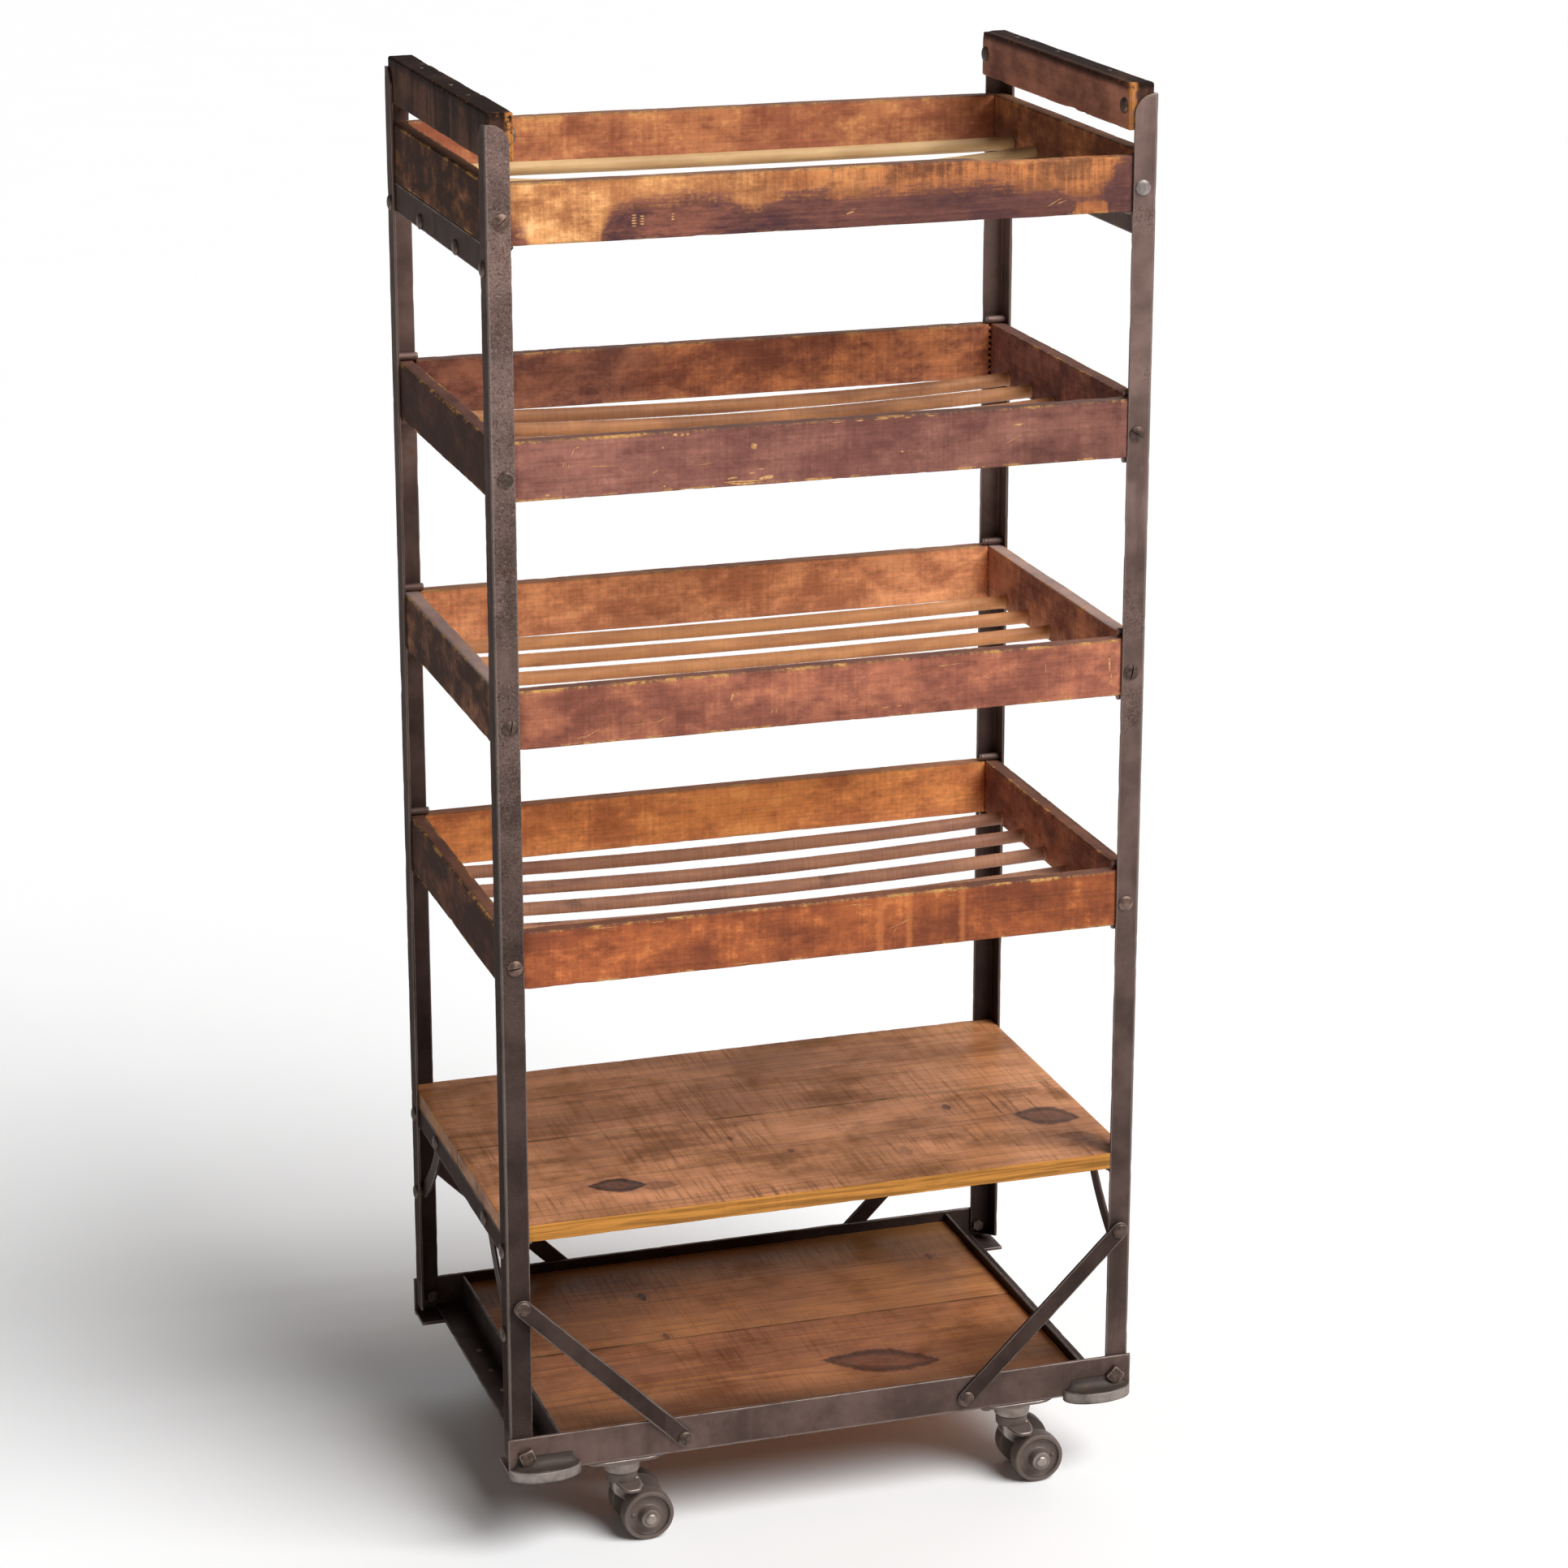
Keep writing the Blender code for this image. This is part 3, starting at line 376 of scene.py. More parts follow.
def moved(rings, depth):
    """Rings pushed out along their normals by a depth at each point."""
    return rings._replace(points=rings.points + rings.normals * depth[..., None])


def skin(rings):
    """Shape of closed rings: quads between neighbouring rings, and one face over each end."""
    count, around = rings.points.shape[:2]
    index = np.arange(count * around).reshape(count, around)
    side = np.roll(index, -1, axis=1)
    quads = np.stack([index[:-1], side[:-1], side[1:], index[1:]], axis=-1).reshape(-1, 4)
    return Shape(rings.points.reshape(-1, 3), [quads, index[:1], index[-1:]], rings.edge.ravel())


def spun(points, edge):
    """Shape of open profiles set round an axis, with quads from each to the next."""
    index = np.arange(edge.size).reshape(edge.shape)
    side = np.roll(index, -1, axis=0)
    quads = np.stack([index[:, :-1], side[:, :-1], side[:, 1:], index[:, 1:]], axis=-1).reshape(-1, 4)
    return Shape(points.reshape(-1, 3), [quads], edge.ravel())


def turned(profile, steps=32, edge=None):
    """Shape of (radius, height) points spun round the Z axis; a radius of zero closes an end."""
    radius, height = np.array(profile, float).T
    angle = np.linspace(0, 2 * np.pi, steps, endpoint=False)[:, None]
    points = np.stack(np.broadcast_arrays(radius * np.cos(angle), radius * np.sin(angle), height), axis=-1)
    nearness = np.zeros(len(radius)) if edge is None else np.array(edge, float)
    return spun(points, np.tile(nearness, (steps, 1)))


def joined(*shapes):
    """Several shapes as one."""
    starts = np.cumsum([0] + [len(shape.points) for shape in shapes])
    faces = [face + start for shape, start in zip(shapes, starts) for face in shape.faces]
    points = np.concatenate([shape.points for shape in shapes])
    return Shape(points, faces, np.concatenate([shape.edge for shape in shapes]))


def set_on(shape, place, direction, spin=0.0):
    """A shape whose Z axis is turned to a direction, spun about it and moved to a place."""
    up = np.array(direction, float) / np.linalg.norm(direction)
    helper = np.array((0, 0, 1.0)) if abs(up[2]) < 0.9 else np.array((1.0, 0, 0))
    first = np.cross(helper, up)
    first /= np.linalg.norm(first)
    second = np.cross(up, first)
    c, s = math.cos(spin), math.sin(spin)
    basis = np.stack([c * first + s * second, c * second - s * first, up])
    return shape._replace(points=shape.points @ basis + np.array(place, float))


def smooth_corner(a, b, c, radius, steps=4):
    """Points of the arc that rounds the corner b of a profile between a and c."""
    a, b, c = (np.array(v, float) for v in (a, b, c))
    u, v = (a - b) / np.linalg.norm(a - b), (c - b) / np.linalg.norm(c - b)
    half = math.acos(np.clip(u @ v, -1, 1)) / 2
    reach = radius / math.tan(half)
    centre = b + (u + v) / np.linalg.norm(u + v) * radius / math.sin(half)
    p, q = b + u * reach - centre, b + v * reach - centre
    share = np.linspace(0, 1, steps + 1)[:, None]
    arc = p * (1 - share) + q * share
    return centre + arc / np.linalg.norm(arc, axis=1)[:, None] * radius


def smoothed(profile, radius):
    """Profile whose inner corners are rounded, each by one radius or by its own."""
    radii = np.broadcast_to(radius, len(profile) - 2)
    parts = [np.array(profile[:1], float)]
    for k in range(1, len(profile) - 1):
        parts.append(smooth_corner(*profile[k - 1 : k + 2], radii[k - 1]))
    return np.concatenate(parts + [np.array(profile[-1:], float)])


def dome(radius, height, rim=0.0012, root=0.0006, steps=28):
    """Round bolt head: a short straight rim under a crown that is a quarter of an ellipse."""
    turn = np.linspace(0, np.pi / 2, 8)
    crown = np.stack([radius * np.cos(turn), rim + (height - rim) * np.sin(turn)], axis=1)[::-1]
    profile = np.concatenate([crown, [(radius, -root), (0, -root)]])
    profile[0, 0] = 0
    return turned(profile, steps, np.concatenate([np.linspace(0.2, 1, len(crown)), [0.2, 0.2]]))


ROUND_HEAD = dome(HEAD_RADIUS, HEAD_HEIGHT)


def slotted(radius, height, slot=0.0022, depth=0.0018, rim=0.0014, root=0.0006):
    """Slotted screw head: two half crowns beside a slot, over a flat slot floor.

    Across a half, y runs from the slot's wall to the rim, the root of r squared less x squared, and
    the crown's height falls with the square of the distance from the axis.
    """
    half = slot / 2
    reach = math.sqrt(radius**2 - half**2)
    x = reach * np.sin(np.linspace(-np.pi / 2, np.pi / 2, 25))[:, None]
    far = np.sqrt(np.maximum(radius**2 - x**2, half**2))
    share = np.linspace(0, 1, 9)[None]
    y = half + (far - half) * share
    z = rim + (height - rim) * (1 - (x**2 + y**2) / radius**2)
    x = np.broadcast_to(x, y.shape)
    low = np.full((len(y), 1), -root)
    ring_x = np.concatenate([x[:, :1], x, x[:, -1:]], axis=1)
    ring_y = np.concatenate([y[:, :1], y, y[:, -1:]], axis=1)
    ring_z = np.concatenate([low, z, low], axis=1)
    points = np.stack([ring_x, ring_y, ring_z], axis=-1)
    edge = np.zeros(points.shape[:2])
    edge[:, [1, 9]] = 1
    one = skin(Rings(points, points, edge))
    other = one._replace(points=one.points * (-1, -1, 1))
    floor = turned([(0, height - depth - rim), (radius * 0.96, height - depth - rim), (0, -root)], 28)
    return joined(one, other, floor)


def square_head(width, height, root=0.001):
    """Square bolt head: its top is cut by a flat cone, so that the corners are chamfered."""
    angle = np.linspace(0, 2 * np.pi, 64, endpoint=False)[:, None]
    flat = width / 2 / np.maximum(np.abs(np.cos(angle)), np.abs(np.sin(angle)))
    flat = np.minimum(flat, width * 0.66)
    crown = width * 0.46
    share = np.linspace(0, 1, 10)[None]
    radius = flat * share
    top = height - np.maximum(radius - crown, 0) * 0.55
    radius = np.concatenate([radius, flat, 0 * flat], axis=1)
    z = np.concatenate([top, np.full(flat.shape, -root), np.full(flat.shape, -root)], axis=1)
    points = np.stack([radius * np.cos(angle), radius * np.sin(angle), z], axis=-1)
    edge = np.zeros(points.shape[:2])
    edge[:, 8:10] = 1
    return spun(points, edge)


STEEL_WAVE = 0.00022
STEEL_DENT = 0.0009
WOOD_NICK = 0.0008


def peaks(rings, size, seed, above):
    """How far a noise of a size rises above a height, on edges only."""
    return np.maximum(lattice_noise(rings.points, size, seed) - above, 0) * rings.edge


def steel_wear(rings, seed):
    """Hand-worn rolled steel: shallow waves over the faces, and dents along the edges."""
    waves = lattice_noise(rings.points, 0.014, seed) + 0.5 * lattice_noise(rings.points, 0.005, seed + 1)
    dents = peaks(rings, 0.011, seed + 2, 0.25)
    return moved(rings, STEEL_WAVE * waves * 0.5 - STEEL_DENT * dents)


def wood_wear(rings, seed, wave=BOARD_WAVE, chip=0.0015):
    """Used board: slow waves along its faces, and chips where noise peaks on an edge."""
    slow = lattice_noise(rings.points, WAVE_LENGTH, seed)
    chips = peaks(rings, 0.016, seed + 1, 0.40)
    nicks = peaks(rings, 0.006, seed + 2, 0.45)
    return moved(rings, wave * slow - chip * chips - WOOD_NICK * nicks)


def piece(name, shape, finish, nodes, body="rack", sharp=38, fields=None):
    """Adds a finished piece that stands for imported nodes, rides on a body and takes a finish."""
    mesh = bpy.data.meshes.new(name)
    mesh.vertices.add(len(shape.points))
    mesh.vertices.foreach_set("co", shape.points.astype(np.float32).ravel())
    corners = np.concatenate([face.ravel() for face in shape.faces])
    sizes = np.concatenate([np.full(len(face), face.shape[1]) for face in shape.faces])
    mesh.loops.add(len(corners))
    mesh.loops.foreach_set("vertex_index", corners.astype(np.int32))
    mesh.polygons.add(len(sizes))
    mesh.polygons.foreach_set("loop_start", (np.cumsum(sizes) - sizes).astype(np.int32))
    mesh.update(calc_edges=True)
    for label, values in {"edge": shape.edge, **(fields or {})}.items():
        layer = mesh.attributes.new(label, "FLOAT", "POINT")
        layer.data.foreach_set("value", values.astype(np.float32).ravel())
    work = bmesh.new()
    work.from_mesh(mesh)
    bmesh.ops.remove_doubles(work, verts=work.verts, dist=1e-7)
    bmesh.ops.dissolve_degenerate(work, edges=work.edges, dist=1e-8)
    bmesh.ops.recalc_face_normals(work, faces=work.faces)
    work.to_mesh(mesh)
    work.free()
    mesh.shade_smooth()
    mesh.set_sharp_from_angle(angle=math.radians(sharp))
    mesh.materials.append(finish)
    made = bpy.data.objects.new(name, mesh)
    bpy.context.scene.collection.objects.link(made)
    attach(made, body)
    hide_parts(*nodes)
    return made


# Shader expressions


class Field:
    """A shader socket on which Python's operators add Math nodes."""

    def __init__(self, finish, socket):
        self.finish = finish
        self.socket = socket

    def math(self, operation, *values):
        return self.finish.node("ShaderNodeMath", {"operation": operation}, dict(enumerate(values)))

    def __add__(self, other):
        return self.math("ADD", self, other)

    def __sub__(self, other):
        return self.math("SUBTRACT", self, other)

    def __rsub__(self, other):
        return self.math("SUBTRACT", other, self)

    def __mul__(self, other):
        return self.math("MULTIPLY", self, other)

    def __truediv__(self, other):
        return self.math("DIVIDE", self, other)

    def __rtruediv__(self, other):
        return self.math("DIVIDE", other, self)

    def __pow__(self, other):
        return self.math("POWER", self, other)

    def __abs__(self):
        return self.math("ABSOLUTE", self)

    __radd__ = __add__
    __rmul__ = __mul__

    def sine(self):
        return self.math("SINE", self)

    def most(self, other):
        return self.math("MAXIMUM", self, other)

    def rise(self, start, end):
        """Smooth step from 0 at start to 1 at end, or downwards where end is the smaller one."""
        settings = {"interpolation_type": "SMOOTHSTEP"}
        sockets = {"Value": self, "From Min": start, "From Max": end}
        return self.finish.node("ShaderNodeMapRange", settings, sockets)


class Finish:
    """A material in the making: every node comes from its node method."""

    def __init__(self, name):
        self.material = bpy.data.materials.new(name)
        self.material.use_nodes = True
        self.tree = self.material.node_tree
        self.shader = self.tree.nodes["Principled BSDF"]
        self.where = self.node("ShaderNodeTexCoord", output="Object")

    def node(self, kind, settings=None, sockets=None, output=0):
        made = self.tree.nodes.new(kind)
        for key, value in (settings or {}).items():
            setattr(made, key, value)
        for key, value in (sockets or {}).items():
            self.feed(made.inputs[key], value)
        return Field(self, made.outputs[output])

    def feed(self, socket, value):
        if isinstance(value, Field):
            self.tree.links.new(value.socket, socket)
        elif isinstance(value, tuple) and len(value) == 3 and socket.type == "RGBA":
            socket.default_value = (*value, 1)
        else:
            socket.default_value = value

    def stretched(self, scale, turn=(0, 0, 0), shift=(0, 0, 0)):
        """Object coordinates, turned, stretched and shifted."""
        sockets = {"Vector": self.where, "Scale": scale, "Rotation": turn, "Location": shift}
        return self.node("ShaderNodeMapping", None, sockets)

    def noise(self, vector, scale=1.0, detail=4.0, roughness=0.55, distortion=0.0):
        sockets = {"Vector": vector, "Scale": scale, "Detail": detail}
        sockets.update({"Roughness": roughness, "Distortion": distortion})
        return self.node("ShaderNodeTexNoise", None, sockets)

    def drawn(self, scale, detail=4.0, roughness=0.55, distortion=0.0, **placing):
        """Noise drawn out along the axes by a scale for each, and turned or shifted."""
        return self.noise(self.stretched(scale, **placing), 1.0, detail, roughness, distortion)

    def cells(self, vector, scale):
        return self.node("ShaderNodeTexVoronoi", None, {"Vector": vector, "Scale": scale})

    def axes(self):
        """The three object coordinates as numbers."""
        first = self.node("ShaderNodeSeparateXYZ", None, {0: self.where})
        return [Field(self, output) for output in first.socket.node.outputs]

    def attribute(self, name):
        return self.node("ShaderNodeAttribute", {"attribute_name": name}, output="Fac")

    def mix(self, share, a, b):
        return self.node("ShaderNodeMix", {"data_type": "RGBA"}, {0: share, 6: a, 7: b}, output=2)

    def scaled(self, colour, value):
        """A colour times a value that varies."""
        return self.node("ShaderNodeVectorMath", {"operation": "SCALE"}, {0: colour, "Scale": value})

    def done(self, colour, roughness, height, bump=0.0004, metallic=0.0, **constants):
        """Feeds the shader and returns the material."""
        inputs = self.shader.inputs
        sockets = {"Height": height, "Distance": bump, "Strength": 1.0}
        normal = self.node("ShaderNodeBump", None, sockets)
        for key, value in {"Base Color": colour, "Roughness": roughness, "Normal": normal}.items():
            self.feed(inputs[key], value)
        self.feed(inputs["Metallic"], metallic)
        for key, value in constants.items():
            inputs[key.replace("_", " ")].default_value = value
        return self.material


# Finishes

OCHRE = (0.66, 0.34, 0.115)
RUST = (0.150, 0.070, 0.036)
BARE_STEEL = (0.42, 0.35, 0.31)
SOOT_AND_SIDE_SHADE = (0.040, 0.018, 0.011)
PIT_BLACK = (0.035, 0.024, 0.021)
WOOD_SOOT_AND_SHADE = (0.042, 0.022, 0.016)
DIRT = (0.085, 0.050, 0.040)


def dimmed(colour, share):
    return tuple(share * c for c in colour)


def aged_steel(name, pitting, tone=1.0, foot=0.5, side=FRAME_X):
    """Rolled steel under a brown patina: clouds, long streaks, pits, rust and bare metal on edges.

    Pits are the peaks of a fine noise and pale flecks its hollows, both only where a coarse noise
    lets them. The patina is darker towards the bottom. Faces at the distance given by side, to the
    left and right of the middle, are near black: partly soot, partly painted shade of those outer
    side faces.
    """
    f = Finish(name)
    x, _, z = f.axes()
    clouds = f.noise(f.where, 13.0, 7, 0.62)
    drift = f.drawn((34, 34, 3.2), 5, 0.6)
    crust = f.noise(f.where, 420.0, 5, 0.7)
    grit = f.noise(f.where, 620.0, 4, 0.7)
    rust = f.noise(f.where, 34.0, 6, 0.7)
    edge = f.attribute("edge")
    spread = 0.34 * pitting
    zone = f.noise(f.where, 8.0, 3).rise(0.62 - spread, 0.72 - spread) * z.rise(0.45, 0.95)
    pit = crust.rise(0.56, 0.63) * zone
    fleck = crust.rise(0.42, 0.35) * (0.3 + 0.7 * pitting) * zone
    bare = (edge * 0.8 + drift * 0.8 + grit * 0.35 - 1.10).rise(0.0, 0.35)
    dark = dimmed((0.125, 0.082, 0.070), tone)
    warm = dimmed((0.250, 0.165, 0.142), tone)
    colour = f.mix(clouds.rise(0.30, 0.70), dark, warm)
    colour = f.mix(drift.rise(0.52, 0.70) * 0.45, colour, dimmed(dark, 0.7))
    colour = f.mix(rust.rise(0.57, 0.70) * 0.45, colour, RUST)
    colour = f.mix(fleck * 0.60, colour, BARE_STEEL)
    colour = f.mix(pit * 0.42, colour, PIT_BLACK)
    # Darker towards the bottom: scaled by foot near the floor, rising to 1.16 higher up.
    colour = f.scaled(colour, foot + (1.16 - foot) * z.rise(0.30, 1.60))
    # Painted shade: the outer side faces are darkened towards near black, partly soot, partly painted shade.
    outer = abs(x).rise(side - 0.0020, side - 0.0008) * z.rise(RAIL_TOP, RAIL_TOP + 0.01)
    colour = f.mix(outer * 0.70, colour, SOOT_AND_SIDE_SHADE)
    colour = f.mix(bare * 0.40, colour, BARE_STEEL)
    roughness = 0.36 + 0.22 * grit - 0.10 * bare + 0.12 * pit + 0.12 * drift
    height = grit * 0.2 + crust * (0.15 + 0.7 * pitting) - pit * 0.6 + clouds * 0.4 + rust * 0.3 * pitting
    metallic = (0.50 + 0.4 * bare) * (1.0 - outer)
    bump = 0.0006 + 0.0020 * pitting
    return f.done(colour, roughness, height, bump, metallic, Specular_IOR_Level=0.02)


def cast_iron(name, tone=1.0):
    """Cast iron rubbed by use: grey-brown, sandy in the hollows, polished on edges and rims."""
    f = Finish(name)
    clouds = f.noise(f.where, 42.0, 6, 0.62)
    sand = f.noise(f.where, 520.0, 5, 0.7)
    edge = f.attribute("edge")
    bare = (edge * 0.75 + clouds * 0.6 - 0.76).rise(0.0, 0.40)
    rust = f.noise(f.where, 75.0, 5, 0.65).rise(0.55, 0.70)
    dark = dimmed((0.060, 0.045, 0.039), tone)
    warm = dimmed((0.165, 0.126, 0.110), tone)
    colour = f.mix(0.20 + 0.6 * clouds, dark, warm)
    colour = f.mix(rust * 0.4, colour, (0.11, 0.058, 0.036))
    colour = f.mix(bare * 0.7, colour, (0.50, 0.43, 0.385))
    roughness = 0.34 + 0.22 * sand - 0.10 * bare
    return f.done(colour, roughness, sand, bump=0.0004, metallic=0.30 + 0.5 * bare, Specular_IOR_Level=0.12)


def bolt_metal(name, hollow, crown, rim):
    """Old bolt heads: brown in the hollows, rubbed on the crown and bright on the rim."""
    f = Finish(name)
    spots = f.noise(f.where, 150.0, 5, 0.65)
    edge = f.attribute("edge")
    shade = f.mix(spots.rise(0.36, 0.64), hollow, crown)
    shade = f.mix((edge * (0.4 + spots)).rise(0.55, 0.95) * 0.7, shade, rim)
    return f.done(shade, 0.36 + 0.3 * spots, spots, bump=0.0003, metallic=0.6)


def bare_wood():
    """Wood that shows where stain has chipped off: ochre with short dark fibres."""
    f = Finish("bare_wood")
    fibre = f.drawn((60, 500, 500), 4, 0.65)
    spots = f.noise(f.where, 300.0, 4, 0.6)
    shade = f.mix(spots.rise(0.35, 0.70), (0.42, 0.185, 0.070), (0.78, 0.420, 0.155))
    shade = f.scaled(shade, 0.65 + 0.6 * fibre)
    return f.done(shade, 0.6 + 0.1 * spots, fibre, bump=0.0002)


def scratches(f, turns, length, width, low, high):
    """Thin straight scratches: noise drawn out along a line, turned, and cut near its peaks."""
    total = None
    for k, turn in enumerate(turns):
        placing = {"turn": (0, turn, 0), "shift": (3.7 * k, 1.3 * k, 0)}
        line = f.drawn((1 / length, 1 / width, 1 / width), 1.0, 0.4, **placing).rise(low, high)
        total = line if total is None else total.most(line)
    return total


TrayTone = namedtuple(
    "TrayTone",
    "base deep glow grime chips lean runs dust soot dusk",
    defaults=(0.0, (), DIRT, 0.5, None),
)


def tray_wood(name, tone, grain, top, stained=False):
    """Stained hardwood board: patchy varnish, grain, strokes square to it, scratches, chips and dust.

    The grain runs along one axis, so its noise is drawn out along it, and the strokes of the plane
    are drawn out upwards. Rubbed arrises show ochre wood, and the top face carries dirt and dust,
    which on the third tray's side boards is pale grey, a painted sheen.
    A board can be darker towards one end, have pale runs, and turn dusky left of a place. The side
    boards are dark outside: partly soot, partly painted shade of their outer faces. On the stained
    board a soaked patch spreads from the depth given at each point.
    """
    f = Finish(name)
    x, _, z = f.axes()
    along = {"X": (5, 300, 300), "Y": (300, 5, 300)}[grain]
    upward = {"X": (210, 60, 11.0), "Y": (60, 210, 11.0)}[grain]
    blotched = {"X": (24, 40, 38), "Y": (40, 24, 38)}[grain]
    varnish = f.drawn((8, 8, 13), 8, 0.70)
    cloud = f.drawn((3.0, 3.0, 7.0), 5, shift=(1.7, 0.4, 0.0))
    fibre = f.drawn(along, 5, 0.68)
    smear = f.drawn(upward, 5, 0.62)
    mottle = f.noise(f.where, 240.0, 5, 0.65)
    patch = f.drawn(blotched, 7, 0.72)
    edge = f.attribute("edge")
    blend = varnish * 0.6 + patch * 0.35 + smear * 0.10
    colour = f.mix(blend.rise(0.45, 0.60), tone.deep, tone.base)
    lit = (patch * 0.80 + smear * 0.20).rise(0.53, 0.63) * varnish.rise(0.42, 0.58)
    colour = f.mix(lit * 0.8, colour, tone.glow)
    worn = (patch * 0.6 + varnish * 0.4 + smear * 0.1).rise(0.52, 0.42)
    colour = f.mix(worn * 0.35, colour, dimmed(tone.deep, 0.62))
    colour = f.mix(cloud.rise(0.52, 0.70) * tone.grime, colour, dimmed(tone.deep, 0.38))
    for place in tone.runs:
        run = abs(x - place + (patch - 0.5) * 0.012).rise(0.006, 0.001)
        colour = f.mix(run * 0.5, colour, tone.glow)
    if tone.dusk:
        reach = (tone.dusk - x + (varnish - 0.5) * 0.35 + (patch - 0.5) * 0.08).rise(-0.04, 0.08)
        dusky = f.mix(patch.rise(0.40, 0.60), (0.120, 0.052, 0.046), (0.260, 0.104, 0.078))
        colour = f.mix(reach * 0.75, colour, dusky)
    chipped = edge.rise(0.40, 0.85) * patch.rise(0.53, 0.57)
    specks = mottle.rise(0.71, 0.74) * cloud.rise(0.42, 0.54)
    fine = scratches(f, (0.25, -0.55, 1.1), 0.010, 0.0008, 0.77, 0.82) * cloud.rise(0.45, 0.55)
    bared = chipped.most(specks * 0.8).most(fine * 0.8) * tone.chips
    if stained:
        browned = x.rise(-0.20, 0.12)
        streaks = (patch * 0.6 + smear * 0.4).rise(0.42, 0.58)
        amber = f.mix(streaks, (0.17, 0.054, 0.028), (0.53, 0.170, 0.056))
        colour = f.mix(browned * 0.85, colour, amber)
        ragged = f.drawn((34, 40, 120), 8, 0.78)
        shaken = (ragged - 0.5) * 0.6 + (fibre - 0.5) * 0.5 + (patch - 0.5) * 0.3 + (mottle - 0.5) * 0.3
        depth = f.attribute("stain") + shaken
        soaked = depth.rise(-0.05, 0.15)
        colour = f.mix(depth.rise(-0.24, 0.04) * 0.50, colour, (0.38, 0.140, 0.056))
        pools = (varnish * 0.5 + ragged * 0.4 + fibre * 0.1).rise(0.40, 0.60)
        dyed = f.mix(pools, (0.080, 0.033, 0.036), (0.310, 0.112, 0.070))
        dyed = f.mix(browned * 0.6, dyed, (0.098, 0.041, 0.040))
        colour = f.mix(soaked * (1.0 - fibre.rise(0.62, 0.74) * 0.35), colour, dyed)
        bared = bared * (1.0 - 0.7 * soaked)
    if grain == "Y":
        # Painted shade: the outer faces of the side boards are darkened, partly soot, partly painted shade.
        outside = abs(x).rise(INNER_X - 0.006, INNER_X - 0.001)
        paler_share = (patch * 0.45 + varnish * 0.55).rise(0.46, 0.66)
        sooty_and_shaded = f.mix(paler_share, WOOD_SOOT_AND_SHADE, dimmed(tone.base, tone.soot))
        colour = f.mix(outside * 0.92, colour, sooty_and_shaded)
    shade = 0.13 + 0.74 * fibre + 0.20 * smear + 0.46 * patch + 0.34 * mottle
    colour = f.scaled(colour, shade * (1.0 + x * (tone.lean / 0.35)))
    # Dirt and dust on the top faces. On the third tray's side boards the pale grey colour is a painted sheen.
    dust = z.rise(top - 0.0022, top - 0.0005)
    colour = f.mix(dust * (0.35 + 0.6 * patch), colour, tone.dust)
    broken = (smear * 0.2 + patch * 0.5 + mottle * 0.3).rise(0.46, 0.56)
    arris = edge.rise(0.45, 0.95) * z.rise(top - 0.0035, top - 0.0012) * broken
    colour = f.mix(arris * 0.6 * tone.chips, colour, dimmed(OCHRE, 0.70))
    colour = f.mix(bared, colour, f.mix(mottle.rise(0.35, 0.65), dimmed(OCHRE, 0.6), OCHRE))
    tighter = tuple(1.4 * c for c in along)
    cracks = f.drawn(tighter, 3, 0.5).rise(0.66, 0.76) * 0.25
    colour = f.mix(cracks, colour, dimmed(tone.deep, 0.25))
    roughness = 0.42 + 0.22 * mottle + 0.14 * bared + 0.1 * patch
    height = fibre * 0.4 + smear * 0.15 + mottle * 0.25 - bared * 0.7 - cracks * 0.9
    return f.done(colour, roughness, height, bump=0.0004, Specular_IOR_Level=0.14 if grain == "X" else 0.01)


def handle_wood():
    """Push bar black with hands on top, brown on its sides, and worn orange at its front arris."""
    f = Finish("handled_wood")
    x, y, z = f.axes()
    blotch = f.drawn((16, 9, 16), 7, 0.64)
    fibre = f.drawn((190, 7, 190), 5, 0.7)
    smear = f.drawn((30, 60, 4), 4, 0.6)
    mottle = f.noise(f.where, 130.0, 5, 0.65)
    edge = f.attribute("edge")
    black, brown = (0.034, 0.019, 0.015), (0.130, 0.060, 0.038)
    colour = f.mix((blotch * 0.6 + smear * 0.5).rise(0.44, 0.68), black, brown)
    red = f.mix(blotch.rise(0.35, 0.65), (0.250, 0.112, 0.082), (0.56, 0.255, 0.170))
    colour = f.mix(x.rise(0.330, 0.345) * x.rise(INNER_X - 0.020, INNER_X - 0.026), colour, red)
    gripped = z.rise(HANDLE_TOP - 0.012, HANDLE_TOP - 0.003)
    grime = f.mix(blotch.rise(0.5, 0.7), (0.020, 0.012, 0.010), (0.070, 0.034, 0.024))
    colour = f.mix(gripped * 0.88, colour, grime)
    colour = f.scaled(colour, 0.45 + 0.7 * fibre + 0.4 * mottle)
    rub = edge.rise(0.4, 0.9) * mottle.rise(0.58, 0.64)
    front = y.rise(-INNER_Y + 0.012, -INNER_Y + 0.003) * edge.rise(0.3, 0.8) * mottle.rise(0.40, 0.52)
    inward = abs(x).rise(INNER_X - 0.018, INNER_X - 0.024)
    colour = f.mix((rub * 0.22).most(front * inward), colour, (0.50, 0.20, 0.060))
    nick = f.cells(f.stretched((70, 40, 70)), 1.0).rise(0.10, 0.06) * blotch.rise(0.50, 0.58) * gripped
    colour = f.mix(nick * 0.8, colour, (0.46, 0.34, 0.22))
    height = fibre * 0.5 + mottle * 0.5 - nick * 0.9 - rub * 0.4
    return f.done(colour, 0.42 + 0.3 * mottle, height, bump=0.0006, Specular_IOR_Level=0.01)


Knot = namedtuple("Knot", "x y length width turn dark hollow", defaults=(0.0,))
Pine = namedtuple("Pine", "base deep gold saw gloss sunny")
KNOT_RED = (0.200, 0.070, 0.036)
KNOT_BLACK = (0.012, 0.005, 0.005)


